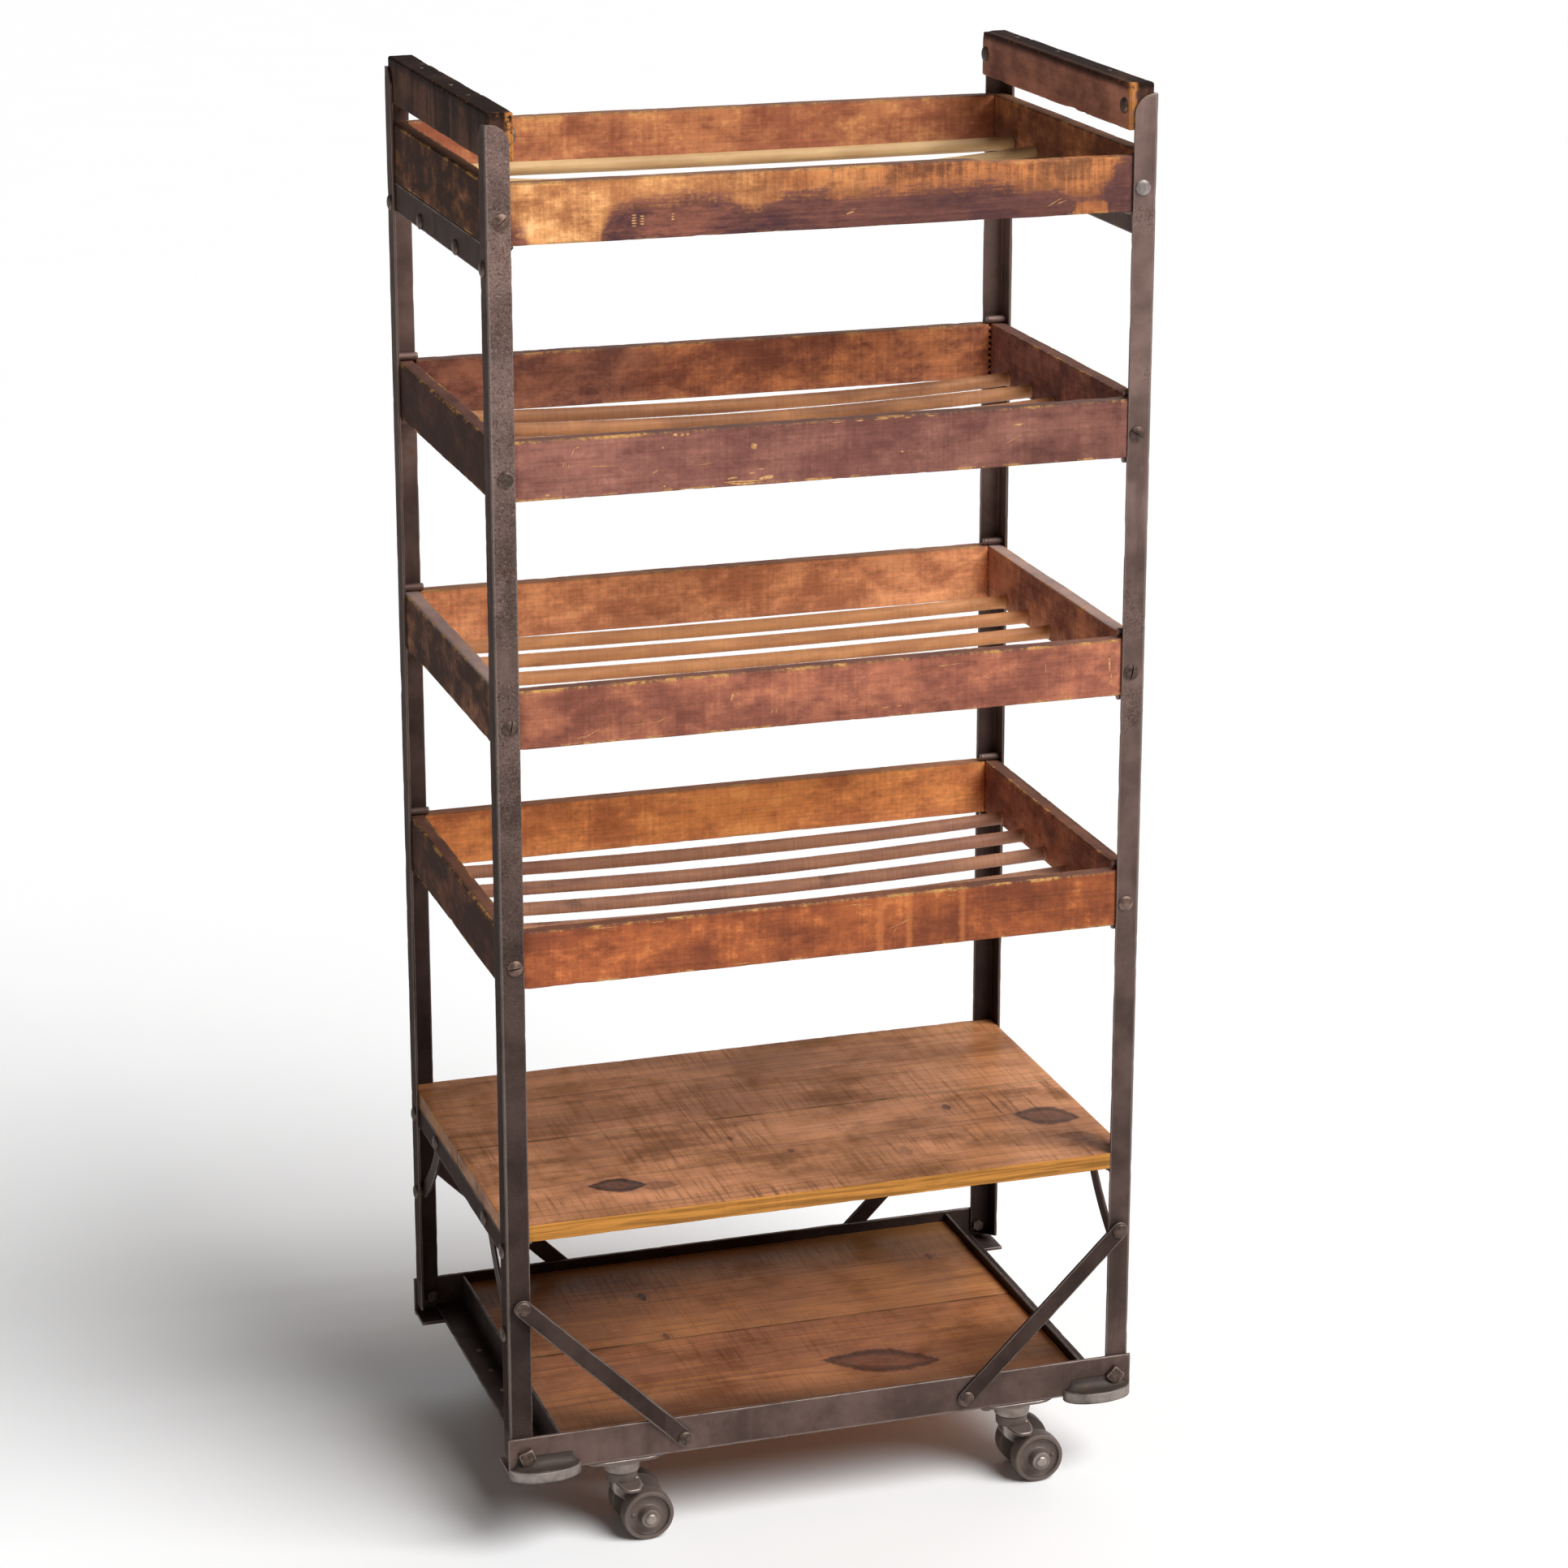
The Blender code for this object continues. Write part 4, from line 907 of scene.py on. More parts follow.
def plank_wood(name, pine, knots, front, seam):
    """Oiled pine plank: grain lines that part round knots, saw strokes across it and dark smudges.

    A knot pushes the grain's own coordinate away from its middle by a bell curve, so lines flow
    round it. It is a ragged lens, pointed along the grain: red-brown with faint rings inside, black
    at its rim, and with a long soft shade to both ends. Saw strokes are noise drawn out across the
    plank, only in some zones. A plank with a painted light pool is brightest at one place and darker
    round it: painted light in the middle and painted shadow round it, over the deck's rear under the
    shelf and along its front. The edge along the seam is painted dark, a painted shade in the gap,
    with a pale line beside it, a painted highlight on the seam's edge, and the front edge is golden.
    """
    f = Finish(name)
    x, y, z = f.axes()
    edge = f.attribute("edge")
    deep, gold = pine.deep, pine.gold
    sway = f.drawn((1.8, 6, 6), 3)
    shaken = f.noise(f.where, 75.0, 5) - 0.5
    flow = y + (sway - 0.5) * 0.050
    core = rim = None
    for knot in knots:
        c, s = math.cos(knot.turn), math.sin(knot.turn)
        lengthwise = ((x - knot.x) * c + (y - knot.y) * s) / knot.length
        across = ((y - knot.y) * c - (x - knot.x) * s) / knot.width
        spread = across * across + lengthwise * lengthwise
        flow = flow - (y - knot.y) / (1.0 + spread * spread) * 0.85
        ragged = abs(across) + lengthwise * lengthwise + shaken * 0.7
        tails = across * across * 0.40 + lengthwise * lengthwise * 0.12 + shaken * 1.2
        oval = ragged.rise(1.30, 0.90).most(tails.rise(1.0, 0.2) * 0.34) * knot.dark
        ring = 0.55 + 0.12 * (spread**0.5 * 13.0 + shaken * 16.0).sine() + 0.40 * ragged.rise(0.45, 0.90)
        ring = ring - knot.hollow * ragged.rise(0.80, 0.40)
        core = oval if core is None else core.most(oval)
        rim = oval * ring if rim is None else rim.most(oval * ring)
    flowing = f.node("ShaderNodeCombineXYZ", None, {0: x * 1.3, 1: flow * 150.0, 2: z * 60.0})
    lines = f.noise(flowing, 1.0, 5, 0.62)
    fine = f.drawn((9, 480, 480), 4, 0.65)
    tint = f.drawn((3.0, 6, 6), 6, 0.62)
    strokes = f.drawn((210, 8, 8), 5, 0.7, turn=(0, 0, 0.05)).rise(0.46, 0.68)
    zone = f.drawn((5.5, 7, 7), 5, shift=(4.0, 2.3, 0)).rise(0.40, 0.60)
    smudge = f.drawn((9, 11, 11), 7, 0.66, shift=(1.0, 5.0, 0)).rise(0.46, 0.68)
    fleck = f.drawn((45, 210, 210), 3).rise(0.68, 0.75)
    colour = f.mix(tint.rise(0.36, 0.62), deep, pine.base)
    colour = f.mix(lines.rise(0.50, 0.66) * 0.45, colour, dimmed(deep, 0.50))
    colour = f.mix(lines.rise(0.46, 0.34) * 0.40, colour, gold)
    colour = f.scaled(colour, 0.56 + 0.88 * fine)
    # Painted light and shadow: the colour is brightest at the pool's middle and darker round it.
    if pine.sunny:
        pool_x, pool_y, reach_x, reach_y = pine.sunny
        off_x, off_y = (x - pool_x) / reach_x, (y - pool_y) / reach_y
        colour = f.scaled(colour, 0.30 + 1.00 * (off_x * off_x + off_y * off_y).rise(1.4, 0.0))
    colour = f.mix(strokes * (0.20 + 0.80 * zone) * pine.saw, colour, dimmed(deep, 0.36))
    colour = f.mix(smudge * (0.30 + 0.5 * pine.saw), colour, dimmed(deep, 0.36))
    colour = f.mix(fleck * 0.55, colour, dimmed(deep, 0.30))
    if core is not None:
        colour = f.mix(core, colour, f.mix(rim, KNOT_RED, KNOT_BLACK))
    # Painted shade: a dark line along the seam stands in for the shade in the gap between the planks.
    colour = f.mix(abs(y - seam).rise(0.0030, 0.0008) * 0.75, colour, dimmed(deep, 0.20))
    # Painted highlight: a pale line beside the seam stands in for light caught on its edge.
    paler_share = abs(y - seam).rise(0.0013, 0.0004) * tint.rise(0.46, 0.56)
    colour = f.mix(paler_share * 0.8, colour, (0.62, 0.40, 0.22))
    figure = f.drawn((7, 60, 190), 5, 0.6, 0.8)
    golden = f.mix(figure.rise(0.36, 0.64), dimmed(gold, 0.45), gold)
    face = (0.0 - y).rise(front - 0.0016, front - 0.0004)
    colour = f.mix(face * 0.92, colour, golden)
    worn = edge.rise(0.5, 0.95) * tint.rise(0.40, 0.62) * 0.5 * abs(y - seam).rise(0.0, 0.006)
    colour = f.mix(worn, colour, gold)
    roughness = 0.20 + 0.12 * fine + 0.20 * smudge + 0.15 * strokes
    height = lines * 0.35 + fine * 0.3 + strokes * zone * 0.5
    return f.done(colour, roughness, height, bump=0.0003, Specular_IOR_Level=pine.gloss)


def dowel_wood(name, light, dark, ribbed):
    """Turned rod: pale wood, or brown with fine ribs round it and smoky patches along it."""
    f = Finish(name)
    x = f.axes()[0]
    patch = f.drawn((9, 30, 30), 6, 0.62)
    fibre = f.drawn((8, 260, 260), 4, 0.6)
    rib = f.drawn((330, 14, 14), 2, 0.5)
    smoke = f.drawn((12, 22, 22), 5, shift=(3.0, 1.0, 0)).rise(0.60, 0.72)
    colour = f.mix(patch.rise(0.36, 0.64), dark, light)
    colour = f.mix(smoke * (0.15 + 0.45 * ribbed), colour, dimmed(dark, 0.35))
    colour = f.scaled(colour, 0.76 + 0.48 * fibre + ribbed * (rib - 0.5) * 0.45)
    end = abs(x).rise(INNER_X - BOARD - 0.004, INNER_X - BOARD - 0.0015)
    colour = f.mix(end * 0.6, colour, (0.60, 0.38, 0.20))
    height = rib * ribbed + fibre * 0.3
    return f.done(colour, 0.44 + 0.2 * patch, height, bump=0.0005, Specular_IOR_Level=0.35)


PITTED_STEEL = aged_steel("pitted_steel", 1.0, 1.14, 0.28)
WORN_STEEL = aged_steel("worn_steel", 0.25, 1.05)
# Painted shade: a darker copy of the post steel for the rear posts, darkest at the foot, for the shade of the
# trays over them.
SHADED_REAR_STEEL = aged_steel("shaded_rear_steel", 0.08, 0.88, 0.26)
BASE_STEEL = aged_steel("base_steel", 0.05, 1.3)
# Painted shade: a darker copy of the steel for the rear and side rails, for the shade under the shelf and
# deck.
SHADED_RAIL_STEEL = aged_steel("shaded_rail_steel", 0.05, 0.60)
BRACE_STEEL = aged_steel("brace_steel", 0.12, 0.60)
# Tray and shelf angles: their outer faces are near black, partly soot, partly painted shade.
SOOTY_SHADED_STEEL = aged_steel("sooty_shaded_steel", 0.05, 0.50, 0.5, INNER_X)
CAST_IRON = cast_iron("cast_iron", 1.3)
BUMPER_IRON = cast_iron("bumper_iron", 0.50)
SCREW_BROWN = bolt_metal("brown_screw", (0.046, 0.028, 0.022), (0.125, 0.080, 0.062), (0.26, 0.195, 0.160))
SCREW_GREY = bolt_metal("grey_screw", (0.24, 0.20, 0.185), (0.40, 0.35, 0.325), (0.55, 0.50, 0.47))
SCREW_COPPER = bolt_metal("copper_screw", (0.11, 0.066, 0.050), (0.24, 0.150, 0.112), (0.45, 0.34, 0.28))
BARE_WOOD = bare_wood()
HANDLE_WOOD = handle_wood()

TRAY_TONES = {
    "tray_1_front": TrayTone(
        (0.86, 0.410, 0.155), (0.44, 0.168, 0.064), (0.98, 0.60, 0.270), 0.24, 0.7
    ),
    "tray_1_rear": TrayTone(
        (0.60, 0.235, 0.100), (0.38, 0.125, 0.064), (0.76, 0.360, 0.135), 0.25, 0.7
    ),
    "tray_2_front": TrayTone(
        (0.300, 0.124, 0.092), (0.200, 0.076, 0.060), (0.38, 0.170, 0.122), 0.35, 1.0, lean=-0.14
    ),
    "tray_2_rear": TrayTone(
        (0.60, 0.220, 0.092), (0.28, 0.094, 0.054), (0.76, 0.300, 0.105), 0.40, 0.6, dusk=-0.06
    ),
    "tray_3_front": TrayTone(
        (0.43, 0.150, 0.086), (0.26, 0.086, 0.056), (0.54, 0.210, 0.100), 0.35, 1.0, lean=0.16
    ),
    "tray_3_rear": TrayTone(
        (0.92, 0.400, 0.182), (0.58, 0.220, 0.104), (0.96, 0.480, 0.205), 0.25, 0.6
    ),
    "tray_4_front": TrayTone(
        (0.40, 0.112, 0.038), (0.23, 0.062, 0.027), (0.60, 0.200, 0.062), 0.35, 1.0,
        lean=-0.13, runs=(0.064, 0.099, 0.163),
    ),
    "tray_4_rear": TrayTone(
        (0.86, 0.330, 0.104), (0.56, 0.190, 0.072), (0.95, 0.420, 0.135), 0.25, 0.6
    ),
    "sides_1": TrayTone(
        (0.42, 0.170, 0.075), (0.210, 0.082, 0.045), (0.56, 0.250, 0.100), 0.45, 0.7, soot=0.75
    ),
    "sides_2": TrayTone(
        (0.37, 0.160, 0.118), (0.190, 0.086, 0.072), (0.50, 0.215, 0.140), 0.45, 0.7, soot=0.22
    ),
    # The pale grey on the top of these side boards paints a sheen.
    "sides_3": TrayTone(
        (0.54, 0.238, 0.138), (0.270, 0.120, 0.084), (0.70, 0.330, 0.175), 0.40, 0.7, dust=(0.36, 0.29, 0.275)
    ),
    "sides_4": TrayTone(
        (0.42, 0.170, 0.096), (0.220, 0.090, 0.062), (0.56, 0.240, 0.125), 0.40, 0.7, soot=0.34
    ),
}

SHELF_KNOTS = {
    "front": [
        Knot(-0.2265, -0.150, 0.034, 0.0185, -0.23, 0.98),
        Knot(-0.183, -0.163, 0.026, 0.012, -0.20, 0.62),
        Knot(0.3254, -0.1006, 0.040, 0.026, -0.40, 0.90, 0.12),
        Knot(0.338, -0.172, 0.024, 0.014, -0.40, 0.55),
        Knot(0.2196, -0.0363, 0.006, 0.008, 0.0, 0.85),
        Knot(-0.0029, -0.1114, 0.004, 0.006, 0.0, 0.85),
        Knot(-0.0603, -0.0538, 0.003, 0.006, 0.0, 0.80),
        Knot(0.1266, -0.1534, 0.008, 0.014, 0.0, 0.50),
    ],
    "rear": [],
}
DECK_KNOTS = {
    "front": [Knot(0.103, -0.140, 0.070, 0.030, -0.30, 0.90, 0.16)],
    "rear": [
        Knot(-0.1199, 0.1263, 0.005, 0.011, 0.0, 0.9),
        Knot(-0.1239, 0.0058, 0.004, 0.009, 0.0, 0.7),
        Knot(0.2616, 0.135, 0.004, 0.009, 0.0, 0.8),
    ],
}


# Pieces


TRAY_SCREWS = {
    -1: [
        ("slotted", SCREW_COPPER),
        ("round", SCREW_BROWN),
        ("slotted", SCREW_BROWN),
        ("slotted", SCREW_COPPER),
    ],
    1: [
        ("round", SCREW_GREY),
        ("slotted", SCREW_BROWN),
        ("slotted", SCREW_BROWN),
        ("round", SCREW_COPPER),
    ],
}


def head_spots(x, y):
    """Places and directions of the bolt heads on a post: tray screws on its end face, bolts on its side."""
    screws = []
    for tray in range(1, 5):
        high = tray_span(tray)[1]
        screws.append(((x * (FRAME_X - BOLT_INSET), y * FRAME_Y, high - TRAY_SCREW_DROP), (0, y, 0)))
    top_bolt = tray_span(1)[0] - SEAT - TOP_ANGLE_BOLT_DROP
    bolts = [
        ((x * FRAME_X, y * (FRAME_Y - BOLT_INSET), z), (x, 0, 0))
        for z in (top_bolt, SHELF_BOLT_Z, SHELF_BOLT_Z - KNEE_DROP)
    ]
    return screws, bolts


def steel_post(corner, x, y):
    """Angle-iron post. Towards its top each leg is cut down along an arc, by squeezing the last rings."""
    seed = 11 + 3 * len(corner) + (x > 0) + 2 * (y > 0)
    heel = (x * FRAME_X, y * FRAME_Y)
    section = ell(heel, -x * POST_LEG, -y * POST_LEG, POST_WALL, POST_RADII, 0.0045)
    rings = steel_wear(bar(section, POST_FOOT, POST_TOP, "XYZ", 0.0007, 0.006), seed)
    points = rings.points
    out = np.maximum(np.abs(FRAME_X - np.abs(points[..., 0])), np.abs(FRAME_Y - np.abs(points[..., 1])))
    past = np.clip(out - (POST_LEG - POST_TOP_RADIUS), 0, POST_TOP_RADIUS)
    drop = POST_TOP_RADIUS - np.sqrt(np.maximum(POST_TOP_RADIUS**2 - past**2, 0))
    start = POST_TOP - 2 * POST_TOP_RADIUS
    share = np.clip((points[..., 2] - start) / (POST_TOP - start), 0, 1)
    points[..., 2] -= drop * share
    finish = SHADED_REAR_STEEL if y > 0 else WORN_STEEL if x > 0 else PITTED_STEEL
    piece(f"steel_post_{corner}", skin(rings), finish, [f"post_{corner}"])

    screws, bolts = head_spots(x, y)
    screw = slotted(HEAD_RADIUS, HEAD_HEIGHT)
    for k, (place, out) in enumerate(screws):
        kind, finish = TRAY_SCREWS[x][k]
        head = set_on(screw if kind == "slotted" else ROUND_HEAD, place, out, 0.7 + 1.9 * k)
        piece(f"tray_{k + 1}_screw_{corner}", head, finish, [f"post_{corner}"])
    heads = [set_on(ROUND_HEAD, *spot) for spot in bolts]
    piece(f"side_bolts_{corner}", joined(*heads), SCREW_BROWN, [f"post_{corner}"])

    ends = sorted((x * (FRAME_X - POST_WALL), x * (FRAME_X - POST_WALL - PEG_LENGTH)))
    pegs = []
    for tray in range(2, 5):
        low, high = tray_span(tray)
        for z in (low - SEAT - PEG_RADIUS, high + SEAT + PEG_RADIUS):
            outline = circle((y * (FRAME_Y - PEG_INSET), z), PEG_RADIUS, 20)
            pegs.append(skin(steel_wear(bar(outline, *ends, "YZX", 0.0012, 0.004), seed)))
    piece(f"tray_pegs_{corner}", joined(*pegs), WORN_STEEL, [f"post_{corner}"])


def wood_handle(side, x):
    """Push bar between the posts of one side, with its bolt heads and the nails on its top."""
    inner = INNER_X - HANDLE_THICKNESS
    outline = rectangle((x * INNER_X, HANDLE_LOW), (x * inner, HANDLE_TOP), HANDLE_ARRIS, 0.004)
    rings = wood_wear(bar(outline, -INNER_Y, INNER_Y, "XZY", 0.003, 0.005), 71 + x, 0.0005, 0.0022)
    piece(f"wood_handle_{side}", skin(rings), HANDLE_WOOD, [f"handle_{side}"])
    middle = (HANDLE_LOW + HANDLE_TOP) / 2
    spots = [(x * inner, y * (FRAME_Y - BOLT_INSET), middle) for y in ENDS.values()]
    heads = [set_on(ROUND_HEAD, spot, (-x, 0, 0)) for spot in spots]
    nail = dome(0.0030, 0.0012, 0.0004)
    nail_x, nail_z = x * (INNER_X - NAIL_INSET), HANDLE_TOP - NAIL_SINK
    heads += [set_on(nail, (nail_x, y, nail_z), (0, 0, 1)) for y in NAIL_PLACES[x]]
    piece(f"handle_bolts_{side}", joined(*heads), SCREW_BROWN, [f"handle_{side}"])


STAIN_PLACES = (
    -0.352, -0.341, -0.334, -0.330, -0.262, -0.254, -0.241, -0.220, -0.181, -0.150, -0.111, -0.102, -0.077,
    -0.056, -0.038, -0.002, 0.005, 0.056, 0.079, 0.103, 0.129, 0.160, 0.179, 0.207, 0.223, 0.263, 0.273,
    0.286, 0.303, 0.322, 0.336, 0.352,
)
STAIN_RISES = (
    0.38, 0.26, 0.05, -0.50, -0.50, 0.25, 0.59, 0.68, 0.70, 0.74, 0.68, 0.51, 0.51,
    0.59, 0.65, 0.69, 0.58, 0.60, 0.59, 0.68, 0.65, 0.64, 0.69, 0.63, 0.53, 0.55, 0.42,
    0.30, 0.32, 0.55, 0.90, 1.10,
)
BARE_PATCH_PLACES = (0.276, 0.286, 0.304, 0.322, 0.332)
BARE_PATCH_RISES = (-0.50, 0.18, 0.24, 0.16, -0.50)


def stain_front(points):
    """Depth inside the soaked patch on the top tray's front board, in shares of the board's height.

    The patch lies below a height that varies along the board and above a bare patch at the right,
    both read off at a few places and joined by straight lines.
    """
    low, high = tray_span(1)
    x = points[:, 0]
    rise = (points[:, 2] - low) / (high - low)
    upper = np.interp(x, STAIN_PLACES, STAIN_RISES)
    lower = np.interp(x, BARE_PATCH_PLACES, BARE_PATCH_RISES)
    return np.minimum(upper - rise, rise - lower)


Scar = namedtuple("Scar", "x z length width turn")
SCARS = {
    # x, z, length, width and turn of each, by tray
    1: [
        *((-0.2187, 1.5400 + 0.0029 * k, 0.0062, 0.0021, 0.06) for k in range(5)),
        *((-0.2098, 1.5418 + 0.0027 * k, 0.0050, 0.0018, -0.05) for k in range(4)),
        *((-0.1756, 1.5450 + 0.0028 * k, 0.0042, 0.0019, 0.10) for k in range(3)),
        (0.2603, 1.5405, 0.022, 0.0012, 0.48), (0.0235, 1.5415, 0.010, 0.0022, 0.3),
        (0.028, 1.5450, 0.007, 0.0012, 0.1), (0.268, 1.5400, 0.012, 0.0009, 0.3),
    ],
    2: [
        (0.2222, 1.2940, 0.012, 0.0028, 0.1), (0.2176, 1.2782, 0.0235, 0.0011, 0.46),
        (-0.0852, 1.2911, 0.0075, 0.0085, 0.3), (-0.1421, 1.2748, 0.028, 0.0009, 0.08),
        (-0.3005, 1.2850, 0.0012, 0.010, 0.0), (-0.2972, 1.2835, 0.0012, 0.008, 0.2),
        (-0.2942, 1.2830, 0.0010, 0.006, 0.0), (-0.2585, 1.2810, 0.039, 0.0010, -0.05),
        (-0.2350, 1.2758, 0.012, 0.0010, -0.82), (-0.2895, 1.2990, 0.011, 0.0013, 1.23),
        (-0.2850, 1.3030, 0.006, 0.0022, 0.3), (-0.1886, 1.2963, 0.003, 0.003, 0.0),
        (-0.1748, 1.3096, 0.006, 0.0036, 0.0), (-0.1666, 1.3092, 0.005, 0.003, 0.2),
        (-0.1611, 1.3096, 0.004, 0.0034, 0.0), (-0.0950, 1.2512, 0.050, 0.006, -0.02),
        (-0.0720, 1.2550, 0.018, 0.005, 0.1), (-0.1100, 1.2572, 0.012, 0.003, 0.1),
        (-0.0880, 1.2610, 0.007, 0.0015, 0.0), (-0.0780, 1.2650, 0.009, 0.0012, 0.0),
        (0.0857, 1.2732, 0.003, 0.003, 0.0), (0.0100, 1.3110, 0.014, 0.0014, 0.0),
        (0.0350, 1.3112, 0.010, 0.0018, 0.0), (0.0600, 1.3114, 0.016, 0.0012, 0.0),
        (0.0920, 1.3110, 0.009, 0.0017, 0.0), (0.1200, 1.3112, 0.013, 0.0013, 0.0),
        (-0.3182, 1.2530, 0.005, 0.0035, 0.0), (-0.2966, 1.2495, 0.006, 0.0014, 0.0),
        (-0.1872, 1.2533, 0.003, 0.002, 0.0), (-0.2500, 1.2494, 0.020, 0.0013, 0.0),
        (-0.0200, 1.2500, 0.018, 0.0014, 0.0), (-0.1980, 1.2700, 0.008, 0.0008, 0.5),
    ],
    3: [
        (-0.2730, 0.9813, 0.022, 0.0010, 0.45), (-0.2850, 0.9780, 0.012, 0.0010, 0.25),
        (-0.2560, 0.9840, 0.010, 0.0009, 0.6), (-0.2180, 0.9870, 0.016, 0.0007, 0.1),
        (-0.1950, 0.9890, 0.014, 0.0008, 0.3), (-0.1116, 1.0080, 0.004, 0.010, -0.2),
        (-0.1030, 0.9990, 0.0012, 0.008, 0.3), (-0.1770, 1.0287, 0.002, 0.004, 0.0),
        (-0.0654, 0.9877, 0.0012, 0.006, -0.5), (-0.0600, 0.9880, 0.0011, 0.005, -0.4),
        (0.1366, 1.0232, 0.013, 0.0014, 0.05), (0.1530, 1.0240, 0.020, 0.0007, 0.05),
        (0.0680, 0.9805, 0.010, 0.0012, 0.1), (0.0850, 0.9810, 0.006, 0.0010, 0.1),
        (0.3380, 1.0080, 0.0030, 0.020, 0.05), (0.3400, 0.9890, 0.0024, 0.016, -0.05),
        (0.2600, 1.0100, 0.0008, 0.014, 0.1), (0.2880, 1.0020, 0.0007, 0.010, -0.2),
    ],
    4: [
        (0.0360, 0.7505, 0.026, 0.0009, 0.0), (0.0450, 0.7488, 0.020, 0.0008, 0.0),
        (0.0890, 0.7222, 0.030, 0.0010, 0.36), (0.0820, 0.7150, 0.010, 0.0008, 0.9),
        (-0.2108, 0.7253, 0.0020, 0.003, 0.0), (0.0200, 0.7100, 0.0012, 0.010, 0.0),
        (-0.1000, 0.6945, 0.024, 0.0012, 0.0), (0.1500, 0.7500, 0.012, 0.0010, 0.0),
        (-0.2600, 0.7545, 0.030, 0.0010, 0.0), (-0.2000, 0.7545, 0.018, 0.0012, 0.0),
    ],
}
SCAR_DEPTH = 0.0006
SCAR_LIFT = 0.00012


def board_seed(tray, y):
    return 100 * tray + 7 * (y > 0)


def front_scars(tray):
    """Chips and scratches through the stain of a front board: ragged flat lenses let into its face.

    Each outline is an ellipse whose radius is shaken by noise, and each lies on the board's waves.
    """
    seed = board_seed(tray, -1)
    angle = np.linspace(0, 2 * np.pi, 40, endpoint=False)
    shapes = []
    for k, row in enumerate(SCARS[tray]):
        scar = Scar(*row)
        around = np.stack([np.cos(angle), np.sin(angle), np.full(len(angle), 3.0 * k)], axis=1)
        ragged = 1 + 0.30 * lattice_noise(around, 0.55, seed)
        u, v = scar.length / 2 * np.cos(angle) * ragged, scar.width / 2 * np.sin(angle) * ragged
        c, s = math.cos(scar.turn), math.sin(scar.turn)
        outline = smooth_outline(np.stack([scar.x + c * u - s * v, scar.z + s * u + c * v], axis=1))
        thin = min(scar.length, scar.width) * 0.12
        rings = carried(outline, (SCAR_DEPTH, -SCAR_LIFT), (0, thin), "XZY")
        face = rings.points.copy()
        face[..., 1] = -BOARD_FACE
        rings.points[..., 1] += -BOARD_FACE - BOARD_WAVE * lattice_noise(face, WAVE_LENGTH, seed)
        shapes.append(skin(rings))
    node = f"tray_{tray}_front_board"
    piece(f"tray_{tray}_front_scars", joined(*shapes), BARE_WOOD, [node])


WORN_START = 0.150
WORN_REACH = 0.055
WORN_DEPTH = 0.0048


def worn_top(points, low, high):
    """How far the top tray's front edge is worn down: a smooth step to the right, on the upper half."""
    share = np.clip((points[..., 0] - WORN_START) / WORN_REACH, 0, 1)
    upper = np.clip((points[..., 2] - low) / (high - low) * 2 - 1, 0, 1)
    return WORN_DEPTH * share * share * (3 - 2 * share) * upper


def tray_boards(tray):
    """The four boards and five dowels of a tray."""
    low, high = tray_span(tray)
    overcut = FINGER_OVERCUTS[tray]
    for end, y in ENDS.items():
        seed = board_seed(tray, y)
        outline = rectangle((y * BOARD_FACE, low), (y * BOARD_BACK, high), BOARD_ARRIS, 0.0045)
        reach = INNER_X - BOARD - SEAT
        rings = wood_wear(bar(outline, overcut - reach, reach - overcut, "YZX", 0.0004, 0.005), seed)
        points = rings.points
        if tray == 1 and y < 0:
            points[..., 2] -= worn_top(points, low, high)
        behind = np.abs(points[..., 0]) > FRAME_X - POST_LEG - BOARD_END_GAP
        points[..., 1] = np.where(behind, y * np.minimum(np.abs(points[..., 1]), INNER_Y), points[..., 1])
        shapes = [skin(rings)]
        for x in SIDES.values():
            for z in np.arange(low + FINGER_START, high - FINGER_PITCH / 2, FINGER_PITCH):
                block = rectangle((y * INNER_Y, z), (y * BOARD_BACK, z + FINGER_PITCH / 2), 0.0003, 0.01)
                ends = sorted((x * (reach - overcut - FINGER_LAP), x * reach))
                shapes.append(skin(bar(block, *ends, "YZX", 0.0002, 0.01)))
        shape = joined(*shapes)
        name = f"tray_{tray}_{end}"
        stained = name == "tray_1_front"
        fields = {"stain": stain_front(shape.points)} if stained else None
        finish = tray_wood(f"{name}_wood", TRAY_TONES[name], "X", high, stained)
        piece(f"{name}_plank", shape, finish, [f"{name}_board"], fields=fields)
    finish = tray_wood(f"tray_{tray}_side_wood", TRAY_TONES[f"sides_{tray}"], "Y", high)
    for side, x in SIDES.items():
        outline = rectangle((x * INNER_X, low), (x * (INNER_X - BOARD), high), BOARD_ARRIS, 0.0045)
        rings = wood_wear(bar(outline, -INNER_Y, INNER_Y, "XZY", 0.0006, 0.005), 100 * tray + 31 * x)
        piece(f"tray_{tray}_{side}_plank", skin(rings), finish, [f"tray_{tray}_{side}_board"])
    rods = []
    for k in range(DOWEL_COUNT):
        y = DOWEL_SHIFT + (k - (DOWEL_COUNT - 1) / 2) * DOWEL_PITCH
        sag = REAR_DOWEL_SAGS[tray] if k == DOWEL_COUNT - 1 else DOWEL_SAGS[tray]
        drop = LOW_DOWEL_DROP if (tray, k) == LOW_DOWEL else 0.0
        rods.append(dowel(y, low + DOWEL_LIFTS[tray], sag + drop, tray > 1, 10 * tray + k))
    finish = DOWEL_PALE if tray == 1 else DOWEL_BROWN[tray]
    piece(f"tray_{tray}_dowels", joined(*rods), finish, [f"tray_{tray}_left_board"])


